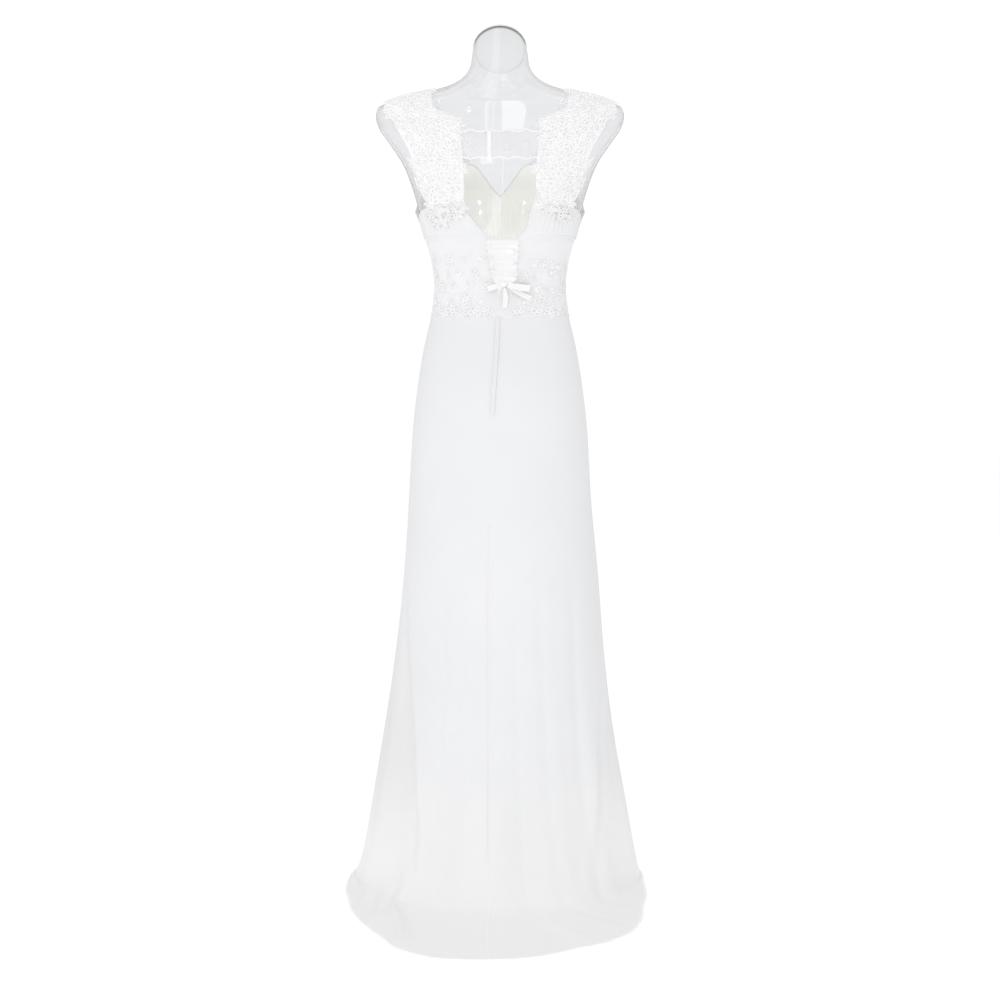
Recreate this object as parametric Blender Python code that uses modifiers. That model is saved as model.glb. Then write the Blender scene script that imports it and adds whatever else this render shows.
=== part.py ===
"""A wedding dress worn by a clear limbless torso form on a plain stand. Metres, +Z up.

The garment's back, with its lacing, faces -Y. Its front faces +Y.
The origin is on the floor, under the middle of the stand's base.
A turn is an angle in degrees round the body: 0 is the centre back, 90 is +X, 180 is the centre front.
"""

import math

import bpy
import numpy as np
from mathutils import Matrix, Vector

# Heights of the garment's seams, up from the floor
WAIST = 1.0285
MIDRIFF_TOP = 1.1165
WING_TOP = 1.1680
NECK_JOIN = 1.2450
OVERLAY_FOOT = 0.9970

# Cloth walls and the spaces between them
SEAM = 0.0004
LAYER = 0.00035
CLOTH_OUT = 0.0020
CLOTH_WALL = 0.0012
LACE_WALL = 0.0010
NET_WALL = 0.0010

# The torso form: one row for each level, from its base to the neck's slanted rim
FORM_COLUMNS = ("height", "half_width", "middle_y", "back", "front", "squareness", "lean")
FORM_ROWS = np.array([
    (0.700, 0.1450, 0.000, 0.1050, 0.0980, 2.4, 0.0),
    (0.760, 0.1470, 0.000, 0.1160, 0.1020, 2.4, 0.0),
    (0.820, 0.1430, 0.000, 0.1200, 0.1050, 2.4, 0.0),
    (0.880, 0.1355, 0.000, 0.1100, 0.1060, 2.4, 0.0),
    (0.940, 0.1250, 0.000, 0.0900, 0.1040, 2.4, 0.0),
    (1.000, 0.1115, 0.000, 0.0740, 0.0960, 2.4, 0.0),
    (1.040, 0.1080, 0.000, 0.0680, 0.0900, 2.4, 0.0),
    (1.080, 0.1125, 0.000, 0.0720, 0.0900, 2.4, 0.0),
    (1.120, 0.1235, 0.000, 0.0800, 0.0940, 2.5, 0.0),
    (1.160, 0.1355, 0.000, 0.0900, 0.0960, 2.6, 0.0),
    (1.200, 0.1465, 0.000, 0.0980, 0.0950, 2.7, 0.0),
    (1.240, 0.1620, -0.003, 0.0985, 0.0900, 2.8, 0.0),
    (1.280, 0.1880, -0.010, 0.0910, 0.0820, 2.8, 0.0),
    (1.300, 0.2015, -0.014, 0.0810, 0.0760, 2.7, 0.0),
    (1.320, 0.2070, -0.016, 0.0690, 0.0680, 2.5, 0.0),
    (1.335, 0.2030, -0.016, 0.0580, 0.0590, 2.4, 0.0),
    (1.343, 0.1880, -0.016, 0.0530, 0.0540, 2.3, 0.0),
    (1.351, 0.1660, -0.017, 0.0505, 0.0515, 2.2, 0.0),
    (1.361, 0.1220, -0.017, 0.0490, 0.0500, 2.1, 0.0),
    (1.370, 0.0880, -0.018, 0.0480, 0.0490, 2.0, 0.0),
    (1.380, 0.0670, -0.018, 0.0475, 0.0485, 2.0, 0.04),
    (1.390, 0.0555, -0.018, 0.0475, 0.0480, 2.0, 0.14),
    (1.402, 0.0490, -0.018, 0.0475, 0.0480, 2.0, 0.30),
    (1.415, 0.0465, -0.018, 0.0475, 0.0480, 2.0, 0.52),
    (1.4285, 0.0450, -0.018, 0.0475, 0.0480, 2.0, 0.727),
])
FORM_SIDES = 36
FINE_FROM, FINE_TO = 1.07, 1.23
BUST_TURN, BUST_SPREAD = 38.0, 19.0
BUST_HEIGHT, BUST_RISE = 1.165, 0.038
BUST_SWELL = 0.17

# The neck cap and the stand
CAP_THICK, CAP_EDGE = 0.005, 0.00175
CAP_SIDES = 28
FLANGE_RADIUS, FLANGE_THICK, FLANGE_SIDES = 0.040, 0.010, 24
POLE_RADIUS, POLE_SIDES = 0.0125, 20
BASE_RADIUS, BASE_THICK, BASE_EDGE = 0.115, 0.010, 0.002
COLLAR_RADIUS, COLLAR_HEIGHT, COLLAR_TAPER = 0.022, 0.030, 0.006
STAND_SIDES = 32

# The skirt below the hips: how far its inner face reaches to each side of the pole
SKIRT_COLUMNS = ("height", "left", "right", "back", "front", "squareness")
SKIRT_ROWS = np.array([
    (0.000, 0.2460, 0.2400, 0.1950, 0.1760, 2.1),
    (0.015, 0.2440, 0.2380, 0.1760, 0.1750, 2.1),
    (0.055, 0.2320, 0.2300, 0.1600, 0.1720, 2.1),
    (0.150, 0.2145, 0.2130, 0.1480, 0.1610, 2.1),
    (0.280, 0.1935, 0.1900, 0.1410, 0.1460, 2.1),
    (0.410, 0.1770, 0.1755, 0.1370, 0.1320, 2.2),
    (0.550, 0.1630, 0.1660, 0.1330, 0.1200, 2.3),
    (0.680, 0.1545, 0.1545, 0.1290, 0.1120, 2.3),
    (0.790, 0.1480, 0.1480, 0.1250, 0.1085, 2.4),
])
# The rows of the grid above the hips lie on the form
SKIRT_TOP_HEIGHTS = (0.865, 0.930, OVERLAY_FOOT, WAIST - SEAM / 2)
TRAIN_SHARES = (1.0, 0.62, 0.26)
TRAIN_RIPPLE = 0.8
SKIRT_STEPS = 56

# Where the hem lies on the floor
HEM_COLUMNS = ("turn", "reach")
HEM_ROWS = np.array([
    (-120, 0.246), (-100, 0.262), (-90, 0.265), (-67, 0.281), (-55, 0.302), (-48, 0.317),
    (-39, 0.339), (-31, 0.364), (-25, 0.392), (-20, 0.405), (-14, 0.416), (-3, 0.412),
    (6, 0.405), (13, 0.392), (19, 0.379), (27, 0.373), (31, 0.364), (36, 0.355),
    (44, 0.329), (61, 0.278), (90, 0.251), (101, 0.253), (120, 0.236), (140, 0.211),
    (160, 0.193), (180, 0.187), (200, 0.194), (220, 0.214), (240, 0.246),
])

# The largest folds. A valley has a negative depth, and each fold starts at its own height.
FOLD_COLUMNS = ("turn", "spread", "depth", "start")
FOLD_ROWS = (
    (-64.0, 12.0, -0.015, 0.66),
    (-92.0, 12.0, 0.007, 0.70),
    (-40.0, 10.0, 0.006, 0.40),
    (-23.0, 8.0, -0.006, 0.34),
    (-5.0, 9.0, 0.004, 0.30),
    (14.0, 8.0, -0.004, 0.28),
    (30.0, 9.0, 0.005, 0.38),
    (50.0, 9.0, -0.004, 0.36),
    (71.0, 10.0, -0.012, 0.60),
    (94.0, 12.0, 0.006, 0.66),
    (116.0, 10.0, -0.008, 0.52),
    (134.0, 10.0, 0.009, 0.60),
    (153.0, 10.0, -0.010, 0.56),
    (173.0, 11.0, 0.010, 0.64),
    (194.0, 10.0, -0.009, 0.58),
    (213.0, 11.0, 0.009, 0.60),
    (234.0, 10.0, -0.009, 0.54),
    (252.0, 10.0, 0.005, 0.50),
)

# The centre back seam leans to -X as it falls
SEAM_COLUMNS = ("height", "turn")
SEAM_ROWS = np.array([
    (0.000, -3.5), (0.040, -6.5), (0.170, -8.0), (0.520, -8.8),
    (0.830, -6.0), (0.930, -3.6), (WAIST, -1.8),
])

# The lacing gap between the two halves of the back, by height
GAP_COLUMNS = ("height", "left_x", "right_x")
GAP_ROWS = np.array([
    (WAIST, -0.0030, -0.0026), (1.040, -0.0034, 0.0060), (1.050, -0.0110, 0.0255),
    (1.075, -0.0160, 0.0275), (MIDRIFF_TOP, -0.0215, 0.0292),
])

EDGE_COLUMNS = 5
MIDRIFF_HEIGHTS = (WAIST + SEAM / 2, 1.040, 1.054, 1.087, MIDRIFF_TOP - SEAM / 2)
MIDRIFF_FRONT_HEIGHTS = (WAIST + SEAM / 2, 1.054, 1.087, MIDRIFF_TOP - SEAM / 2)

# The edges of the keyhole opening that the wings bound
KEYHOLE_COLUMNS = ("height", "left_x", "right_x")
KEYHOLE_ROWS = np.array([
    (MIDRIFF_TOP, -0.0215, 0.0292), (1.124, -0.0235, 0.0325), (1.130, -0.0285, 0.0380),
    (1.138, -0.0365, 0.0445), (1.152, -0.0470, 0.0485), (WING_TOP, -0.0565, 0.0515),
    (1.185, -0.0565, 0.0560), (1.204, -0.0565, 0.0615),
])
UNDERARM = 1.150
WING_TOP_ENDS = 0.55
WING_STEPS, WING_LEVELS = 26, 5
WING_PLEATS, WING_PLEAT_SLANT, PLEAT_DEPTH = 4.7, 0.35, 0.0016
WING_END_FADE = 0.3
GATHER_FROM, GATHER_RUN = 0.12, 0.85
SIDE_SEAM = 88.5
# The right wing's corner goes on up beside the lace
TONGUE_RISE, TONGUE_SHARE = 0.030, 0.130

# The bust cups, by turn away from the centre front
CUP_COLUMNS = ("turn", "top")
CUP_ROWS = np.array([
    (0.0, 1.190), (8.0, 1.205), (16.0, 1.223), (24.0, 1.240), (30.0, NECK_JOIN),
    (44.0, NECK_JOIN), (54.0, 1.238), (66.0, 1.205), (78.0, 1.176), (91.0, 1.162),
])
CUP_STEPS, CUP_LEVELS = 32, 6
CUP_GATHERS, GATHER_DEPTH = 8.0, 0.0016
CUP_SIDE_PROUD, CUP_PROUD_FROM = 0.0035, 0.86
CUP_SPLIT = 0.3

# The lace straps, from the wing's top at the back over the shoulder to the cup
STRAP_COLUMNS = ("share", "centre_x", "half_width", "out")
STRAP_ROWS = np.array([
    (0.00, 0.0880, 0.0290, 0.0030),
    (0.12, 0.0985, 0.0410, 0.0030),
    (0.20, 0.1045, 0.0455, 0.0030),
    (0.27, 0.1165, 0.0545, 0.0030),
    (0.36, 0.1275, 0.0585, 0.0032),
    (0.42, 0.1420, 0.0490, 0.0034),
    (0.48, 0.1505, 0.0400, 0.0034),
    (0.58, 0.1500, 0.0385, 0.0024),
    (0.74, 0.1370, 0.0410, 0.0022),
    (1.00, 0.0910, 0.0420, 0.0028),
])
STRAP_LEVELS = 13
STRAP_CELLS = 4
# The right strap leaves out this cell, level and place, for the wing's corner
RIGHT_NOTCH = (0, 0)
PIVOT_Y, PIVOT_HEIGHT = -0.018, 1.285
PIVOT_RISE, PIVOT_RISE_FROM, PIVOT_RISE_RUN = 0.030, 0.12, 0.06
GAP_SHARE, GAP_SHARE_SWING, GAP_WAVES = 0.40, 0.14, (2.4, 4.1)
LACE_JITTER = 0.16
SWING_WAVES, SWING_PART = (12.9, 7.3), 0.35
SWAY_WAVES, SWAY_PART = (5.1, 9.7), 0.8

# The sheer yoke across the shoulder blades
YOKE_TOP, YOKE_BOTTOM = 1.293, 1.249
YOKE_SCALLOP, YOKE_SCALLOP_WIDTH, YOKE_STEP = 0.0035, 0.030, 0.0075
YOKE_OUT = 0.0013
YOKE_LEFT_X, YOKE_SPLIT_X, YOKE_RIGHT_X = -0.078, -0.0175, 0.080
CLOSURE_WIDTH = 0.006
CLOSURE_DROP, CLOSURE_UNDER = 0.006, 0.001

# The lace overlay on the midriff and the top of the skirt
OVERLAY_HEIGHTS = (OVERLAY_FOOT, WAIST, 1.054, 1.087, MIDRIFF_TOP)
OVERLAY_TOP_SHARE = 0.80
OVERLAY_SCALLOP_SHARE = 0.10
OVERLAY_GAP_SHARE, OVERLAY_GAP_EVERY = 0.60, 5

# The lacing: loops of cord on each edge, and a ribbon that goes from side to side
LOOPS = 6
LOOP_CORD_RADIUS, LOOP_CLEAR = 0.0010, 0.0005
LOOP_OUTSIDE = 0.0032
LOOP_COLUMNS = ("share_of_spacing", "reach_into_gap")
LOOP_ROWS = (
    (0.0, -LOOP_OUTSIDE), (0.22, 0.0), (0.34, 0.0040), (0.50, 0.0050), (0.66, 0.0040), (0.78, 0.0),
)
RIBBON_RUNGS = 7
RIBBON_WIDTH, RIBBON_WALL, RIBBON_OUT = 0.0042, 0.0009, 0.0043
RIBBON_INSET = 0.0030
RIBBON_COLUMNS = ("share_of_rung", "past_it", "lift_in_spacings")
RIBBON_ROWS = (
    (0.0, 0.0004, -0.14), (0.16, 0.0, 0.0), (0.5, 0.0, 0.0), (0.84, 0.0, 0.0),
    (1.0, -0.0004, 0.14), (1.0, 0.0012, 0.5),
)
LACING_BOTTOM, LACING_TOP = 1.0535, 1.1150

# The bow at the foot of the lacing
KNOT_AT = (0.0065, 1.0440)
KNOT_RADII = (0.0060, 0.0045, 0.0048)
BOW_COLUMNS = ("name", "direction_deg", "length", "width", "loop")
BOW_ROWS = (
    ("bow_loop_right", -16.0, 0.036, 0.0120, True),
    ("bow_loop_left", 196.0, 0.020, 0.0095, True),
    ("bow_tail_right", -36.0, 0.044, 0.0085, False),
    ("bow_tail_lower", -82.0, 0.034, 0.0080, False),
)
BOW_STATION_COLUMNS = ("share_of_length", "lift", "share_of_width")
BOW_LOOP_ROWS = (
    (0.00, 0.0025, 0.60), (0.15, 0.0024, 0.80), (0.45, 0.0023, 1.00), (0.80, 0.0024, 1.00),
    (1.00, 0.0039, 1.00), (0.97, 0.0063, 1.00), (0.75, 0.0077, 1.00), (0.40, 0.0068, 0.90),
    (0.15, 0.0053, 0.75), (0.00, 0.0044, 0.60),
)
BOW_TAIL_ROWS = (
    (0.00, 0.0005, 0.45), (0.20, 0.0007, 0.80), (0.50, 0.0009, 1.00), (0.80, 0.0012, 1.00),
    (1.00, 0.0011, 1.05),
)
BOW_WALL = 0.0008
BOW_START, KNOT_SINK = 0.0006, 0.0014

# The placket over the zip, down the centre back seam
PLACKET_HALF, PLACKET_WALL = 0.0030, 0.0009
PLACKET_HEIGHTS = (0.828, SKIRT_TOP_HEIGHTS[0], SKIRT_TOP_HEIGHTS[1], 0.986)

# Colours
WHITE = (0.93, 0.93, 0.95, 1.0)
LACE_WHITE = (0.90, 0.90, 0.93, 1.0)
CLEAR_GREY = (0.45, 0.47, 0.50, 1.0)
PEARL = (0.80, 0.78, 0.70, 1.0)
STEEL = (0.60, 0.60, 0.62, 1.0)


def clear_scene():
    for old in list(bpy.data.objects):
        bpy.data.objects.remove(old, do_unlink=True)


def smooth_between(xs, ys, at):
    """A curve through the points with no corners, which never swings past them."""
    at = np.clip(at, xs[0], xs[-1])
    secants = np.diff(ys) / np.diff(xs)
    slopes = np.zeros(len(xs))
    slopes[0] = secants[0]
    slopes[-1] = secants[-1]
    same = secants[:-1] * secants[1:] > 0
    total = np.where(same, secants[:-1] + secants[1:], 1.0)
    slopes[1:-1] = np.where(same, 2 * secants[:-1] * secants[1:] / total, 0.0)
    left = np.clip(np.searchsorted(xs, at, side="right") - 1, 0, len(xs) - 2)
    width = xs[left + 1] - xs[left]
    part = (at - xs[left]) / width
    return (
        ys[left] * (1 + 2 * part) * (1 - part) ** 2
        + slopes[left] * width * part * (1 - part) ** 2
        + ys[left + 1] * part**2 * (3 - 2 * part)
        - slopes[left + 1] * width * part**2 * (1 - part)
    )


def column_at(rows, names, name, at):
    return smooth_between(rows[:, 0], rows[:, names.index(name)], np.asarray(at, float))


def eased(part):
    part = np.clip(part, 0.0, 1.0)
    return part * part * (3 - 2 * part)


def oval_reach(turn, half_width, depth, squareness):
    """How far a rounded oblong reaches from its middle, in the direction of a turn."""
    turn = np.radians(turn)
    across = (np.abs(np.sin(turn)) / half_width) ** squareness
    through = (np.abs(np.cos(turn)) / depth) ** squareness
    return (across + through) ** (-1 / squareness)


def form_reach(turn, height):
    back = column_at(FORM_ROWS, FORM_COLUMNS, "back", height)
    front = column_at(FORM_ROWS, FORM_COLUMNS, "front", height)
    depth = np.where(np.cos(np.radians(turn)) > 0, back, front)
    half_width = column_at(FORM_ROWS, FORM_COLUMNS, "half_width", height)
    squareness = column_at(FORM_ROWS, FORM_COLUMNS, "squareness", height)
    from_front = np.abs(np.mod(turn, 360.0) - 180.0)
    lobe = np.exp(-(((from_front - BUST_TURN) / BUST_SPREAD) ** 2))
    level = np.exp(-(((height - BUST_HEIGHT) / BUST_RISE) ** 2))
    return oval_reach(turn, half_width, depth, squareness) * (1 + BUST_SWELL * lobe * level)


def form_points(turn, height):
    turn, height = np.broadcast_arrays(np.asarray(turn, float), np.asarray(height, float))
    middle = column_at(FORM_ROWS, FORM_COLUMNS, "middle_y", height)
    lean = column_at(FORM_ROWS, FORM_COLUMNS, "lean", height)
    reach = form_reach(turn, height)
    x = reach * np.sin(np.radians(turn))
    y = middle - reach * np.cos(np.radians(turn))
    return np.stack([x, y, height - lean * (y - middle)], axis=-1)


def unit(vectors):
    return vectors / np.linalg.norm(vectors, axis=-1, keepdims=True)


def off_form(turn, height, out):
    """Points at a distance out from the form's surface."""
    turn, height = np.broadcast_arrays(np.asarray(turn, float), np.asarray(height, float))
    turn_step, height_step = 0.5, 0.001
    along = form_points(turn + turn_step, height) - form_points(turn - turn_step, height)
    up = form_points(turn, height + height_step) - form_points(turn, height - height_step)
    normals = unit(np.cross(along, up))
    return form_points(turn, height) + normals * np.broadcast_to(out, turn.shape)[..., None]


def turn_of_x(x, height):
    """The turn at which the form's back has this x."""
    x, height = np.broadcast_arrays(np.asarray(x, float), np.asarray(height, float))
    low = np.full(x.shape, -89.0)
    high = np.full(x.shape, 89.0)
    for _ in range(30):
        middle = (low + high) / 2
        short = form_points(middle, height)[..., 0] < x
        low = np.where(short, middle, low)
        high = np.where(short, high, middle)
    return (low + high) / 2


def grid_normals(grid):
    along = np.gradient(grid, axis=1)
    up = np.gradient(grid, axis=0)
    return unit(np.cross(along, up))


def trimmed(grid, gap):
    """The grid with its first and last columns moved in by half a seam's gap."""
    grid = grid.copy()
    grid[:, 0] += unit(grid[:, 1] - grid[:, 0]) * gap / 2
    grid[:, -1] -= unit(grid[:, -1] - grid[:, -2]) * gap / 2
    return grid


def grid_faces(rows, columns):
    faces = []
    for row in range(rows - 1):
        for column in range(columns - 1):
            here = row * columns + column
            faces.append((here, here + 1, here + columns + 1, here + columns))
    return faces


def new_object(name, points, faces, collection):
    mesh = bpy.data.meshes.new(name)
    mesh.from_pydata([tuple(map(float, point)) for point in points], [], faces)
    mesh.update()
    mesh.shade_smooth()
    made = bpy.data.objects.new(name, mesh)
    collection.objects.link(made)
    return made


def thicken(made, wall):
    solidify = made.modifiers.new("wall", "SOLIDIFY")
    solidify.thickness = wall
    solidify.offset = 1.0
    solidify.use_even_offset = False
    return made


def cloth_panel(name, grid, wall, collection):
    """A sewn piece: the grid is its inner face, with rows that go up and columns that go round."""
    rows, columns = grid.shape[:2]
    return thicken(new_object(name, grid.reshape(-1, 3), grid_faces(rows, columns), collection), wall)


def paint(made, colour, roughness=0.8, metallic=0.0):
    material = bpy.data.materials.new(made.name)
    material.use_nodes = True
    shader = material.node_tree.nodes["Principled BSDF"]
    shader.inputs["Base Color"].default_value = colour
    shader.inputs["Roughness"].default_value = roughness
    shader.inputs["Metallic"].default_value = metallic
    made.data.materials.clear()
    made.data.materials.append(material)


def primitive(name, collection):
    """Takes the object that an operator has just made into the part's collection."""
    made = bpy.context.active_object
    made.name = name
    for holder in list(made.users_collection):
        holder.objects.unlink(made)
    collection.objects.link(made)
    made.data.shade_smooth()
    return made


def build_form(collection):
    heights = [FORM_ROWS[0, 0]]
    for low, high in zip(FORM_ROWS[:-1, 0], FORM_ROWS[1:, 0]):
        parts = 2 if FINE_FROM < low < FINE_TO else 1
        heights += [low + (high - low) * (part + 1) / parts for part in range(parts)]
    turns = np.arange(FORM_SIDES) * 360.0 / FORM_SIDES
    grid = form_points(turns[None, :], np.array(heights)[:, None])
    rings, sides = grid.shape[:2]
    faces = []
    for ring in range(rings - 1):
        for side in range(sides):
            here = ring * sides + side
            following = ring * sides + (side + 1) % sides
            faces.append((here, following, following + sides, here + sides))
    faces.append(tuple(reversed(range(sides))))
    faces.append(tuple((rings - 1) * sides + side for side in range(sides)))
    form = new_object("form_body", grid.reshape(-1, 3), faces, collection)
    paint(form, CLEAR_GREY, 0.08)


def build_neck_cap(collection):
    top = FORM_ROWS[-1]
    lean_angle = math.atan(top[6])
    slope = 1 / math.cos(lean_angle)
    bpy.ops.mesh.primitive_cylinder_add(vertices=CAP_SIDES, radius=1.0, depth=CAP_THICK)
    cap = primitive("neck_cap", collection)
    half_depth = (top[3] + top[4]) / 2 * slope
    centre = Vector((0.0, top[2] + (top[4] - top[3]) / 2, top[0] - top[6] * (top[4] - top[3]) / 2))
    outward = Vector((0.0, math.sin(lean_angle), math.cos(lean_angle)))
    cap.data.transform(Matrix.Diagonal((top[1], half_depth, 1.0, 1.0)))
    cap.data.transform(Matrix.Rotation(-lean_angle, 4, "X"))
    cap.data.transform(Matrix.Translation(centre + outward * (CAP_THICK / 2 + LAYER)))
    bevel = cap.modifiers.new("edge", "BEVEL")
    bevel.width = CAP_EDGE
    bevel.segments = 2
    bevel.limit_method = "ANGLE"
    paint(cap, PEARL, 0.35)


def build_stand(collection):
    bpy.ops.mesh.primitive_cylinder_add(
        vertices=STAND_SIDES, radius=BASE_RADIUS, depth=BASE_THICK, location=(0, 0, BASE_THICK / 2)
    )
    base = primitive("stand_base", collection)
    bevel = base.modifiers.new("edge", "BEVEL")
    bevel.width = BASE_EDGE
    bevel.segments = 2
    bevel.limit_method = "ANGLE"
    paint(base, STEEL, 0.25, 1.0)

    pole_foot = BASE_THICK + LAYER
    flange_top = FORM_ROWS[0, 0] - LAYER
    flange_foot = flange_top - FLANGE_THICK
    profile = [
        (0.0, pole_foot),
        (COLLAR_RADIUS, pole_foot),
        (COLLAR_RADIUS, pole_foot + COLLAR_HEIGHT),
        (POLE_RADIUS, pole_foot + COLLAR_HEIGHT + COLLAR_TAPER),
        (POLE_RADIUS, flange_foot - LAYER),
        (0.0, flange_foot - LAYER),
    ]
    mesh = bpy.data.meshes.new("stand_pole")
    edges = [(index, index + 1) for index in range(len(profile) - 1)]
    mesh.from_pydata([(radius, 0.0, height) for radius, height in profile], edges, [])
    pole = bpy.data.objects.new("stand_pole", mesh)
    collection.objects.link(pole)
    turned = pole.modifiers.new("turned", "SCREW")
    turned.steps = turned.render_steps = POLE_SIDES
    turned.use_merge_vertices = True
    turned.merge_threshold = 0.00005
    turned.use_normal_calculate = True
    paint(pole, STEEL, 0.25, 1.0)

    middle = flange_foot + FLANGE_THICK / 2
    bpy.ops.mesh.primitive_cylinder_add(
        vertices=FLANGE_SIDES, radius=FLANGE_RADIUS, depth=FLANGE_THICK, location=(0, 0, middle)
    )
    paint(primitive("stand_flange", collection), STEEL, 0.25, 1.0)


def fold_rise(turn, height):
    """How far the folds move the skirt in or out at a place."""
    rise = np.zeros(np.broadcast(turn, height).shape)
    for centre, spread, depth, start in FOLD_ROWS:
        away = np.mod(turn - centre + 180.0, 360.0) - 180.0
        grown = eased((start - height) / start)
        rise = rise + depth * grown * np.exp(-((away / spread) ** 2))
    return rise


def skirt_reach(turn, height):
    columns = {name: column_at(SKIRT_ROWS, SKIRT_COLUMNS, name, height) for name in SKIRT_COLUMNS[1:]}
    half_width = np.where(np.sin(np.radians(turn)) > 0, columns["right"], columns["left"])
    depth = np.where(np.cos(np.radians(turn)) > 0, columns["back"], columns["front"])
    return oval_reach(turn, half_width, depth, columns["squareness"]) + fold_rise(turn, height)


def seam_shift(turn, height):
    """The columns near the centre back lean with its seam."""
    lean = column_at(SEAM_ROWS, SEAM_COLUMNS, "turn", height)
    return lean * np.clip(np.cos(np.radians(turn)), 0.0, 1.0) ** 2


def skirt_grid(turns):
    """The skirt's inner face, from the hem up to the waist."""
    turns = np.asarray(turns, float)
    foot_turns = turns + seam_shift(turns, 0.0)
    wall_foot = skirt_reach(foot_turns, 0.0)
    hem_turns = np.mod(foot_turns - HEM_ROWS[0, 0], 360.0) + HEM_ROWS[0, 0]
    hem = smooth_between(HEM_ROWS[:, 0], HEM_ROWS[:, 1], hem_turns)
    rows = []
    for share in TRAIN_SHARES:
        reach = wall_foot + (hem - wall_foot) * share
        angle = np.radians(foot_turns)
        ripple = np.maximum(fold_rise(turns, 0.0), 0.0) * TRAIN_RIPPLE * math.sin(math.pi * share)
        rows.append(np.stack([reach * np.sin(angle), -reach * np.cos(angle), ripple], axis=-1))
    for height in SKIRT_ROWS[:, 0]:
        placed = turns + seam_shift(turns, height)
        reach = skirt_reach(placed, height)
        angle = np.radians(placed)
        lift = np.full(turns.shape, height)
        rows.append(np.stack([reach * np.sin(angle), -reach * np.cos(angle), lift], axis=-1))
    for height in SKIRT_TOP_HEIGHTS:
        placed = turns + seam_shift(turns, height)
        rows.append(off_form(placed, np.full(turns.shape, height), CLOTH_OUT))
    return np.array(rows)


def build_skirt(collection):
    step = 360.0 / SKIRT_STEPS
    spans = (("skirt_back_right", 0.0, 90.0), ("skirt_front", 90.0, 270.0), ("skirt_back_left", -90.0, 0.0))
    for name, start, end in spans:
        turns = start + np.arange(round((end - start) / step) + 1) * step
        panel = cloth_panel(name, trimmed(skirt_grid(turns), SEAM), CLOTH_WALL, collection)
        paint(panel, WHITE)


def back_edge_turns(start, side, height):
    """Columns from an edge near the centre back to the side seam, most of them on the skirt's own turns."""
    step = 360.0 / SKIRT_STEPS
    own = side * np.arange(SKIRT_STEPS // 4 + 1) * step
    own = own + seam_shift(own, height)
    edge = side * start
    first = side * own[0]
    pull = (edge - first) * np.clip(1 - np.arange(len(own)) / EDGE_COLUMNS, 0.0, 1.0)
    return own + side * pull


def midriff_turns(side, height):
    name = "right_x" if side > 0 else "left_x"
    edge = turn_of_x(column_at(GAP_ROWS, GAP_COLUMNS, name, height), height)
    return back_edge_turns(edge, side, height)


def back_grid(side, heights, out):
    turns = np.array([midriff_turns(side, height) for height in heights])
    if side < 0:
        turns = turns[:, ::-1]
    return off_form(turns, np.array(heights)[:, None], out)


def front_grid(heights, out):
    turns = 90.0 + np.arange(SKIRT_STEPS // 2 + 1) * 360.0 / SKIRT_STEPS
    return off_form(turns[None, :], np.array(heights)[:, None], out)


def build_midriff(collection):
    for name, side in (("midriff_back_left", -1), ("midriff_back_right", 1)):
        grid = trimmed(back_grid(side, MIDRIFF_HEIGHTS, CLOTH_OUT), SEAM)
        paint(cloth_panel(name, grid, CLOTH_WALL, collection), WHITE)
    front = trimmed(front_grid(MIDRIFF_FRONT_HEIGHTS, CLOTH_OUT), SEAM)
    paint(cloth_panel("midriff_front", front, CLOTH_WALL, collection), WHITE)


def lace_panel(name, grid, collection):
    """An overlay whose cells have diamond gaps, set like the gaps between motifs."""
    rows, columns = grid.shape[:2]
    points = [tuple(point) for point in grid.reshape(-1, 3)]
    faces = []
    for row in range(rows - 1):
        for column in range(columns - 1):
            here = row * columns + column
            corners = [here, here + 1, here + columns + 1, here + columns]
            if (column + 2 * row) % OVERLAY_GAP_EVERY != 2 or row == 0 or column in (0, columns - 2):
                faces.append(tuple(corners))
                continue
            places = np.array([points[corner] for corner in corners])
            centre = places.mean(axis=0)
            first = len(points)
            for index in range(4):
                edge_middle = (places[index] + places[(index + 1) % 4]) / 2
                points.append(tuple(centre + (edge_middle - centre) * OVERLAY_GAP_SHARE))
            for index in range(4):
                following = (index + 1) % 4
                faces.append((corners[index], corners[following], first + index))
                faces.append((corners[following], first + following, first + index))
    return thicken(new_object(name, points, faces, collection), LACE_WALL)


def overlay_grid(turns, below):
    """The overlay's inner face, from scallops on the skirt up to just under the midriff's top."""
    out = CLOTH_OUT + CLOTH_WALL + LAYER
    grid = off_form(turns, np.array(OVERLAY_HEIGHTS)[:, None], out)
    scallops = OVERLAY_SCALLOP_SHARE * (np.arange(grid.shape[1]) % 2)[:, None]
    under = off_form(below, np.full(below.shape, SKIRT_TOP_HEIGHTS[1]), out)
    grid[0] += (under - grid[0]) * scallops
    grid[-1] = grid[-2] + (grid[-1] - grid[-2]) * OVERLAY_TOP_SHARE
    return trimmed(grid, SEAM)


def build_overlay(collection):
    columns = np.arange(SKIRT_STEPS // 4 + 1) * 360.0 / SKIRT_STEPS
    for name, side in (("lace_overlay_back_left", -1), ("lace_overlay_back_right", 1)):
        turns = np.array([midriff_turns(side, max(height, WAIST)) for height in OVERLAY_HEIGHTS])
        turns[0] = side * columns + seam_shift(side * columns, OVERLAY_FOOT)
        below = side * columns + seam_shift(side * columns, SKIRT_TOP_HEIGHTS[1])
        if side < 0:
            turns, below = turns[:, ::-1], below[::-1]
        paint(lace_panel(name, overlay_grid(turns, below), collection), LACE_WHITE)
    turns = 90.0 + np.arange(SKIRT_STEPS // 2 + 1) * 360.0 / SKIRT_STEPS
    front = overlay_grid(np.tile(turns, (len(OVERLAY_HEIGHTS), 1)), turns)
    paint(lace_panel("lace_overlay_front", front, collection), LACE_WHITE)


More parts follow.
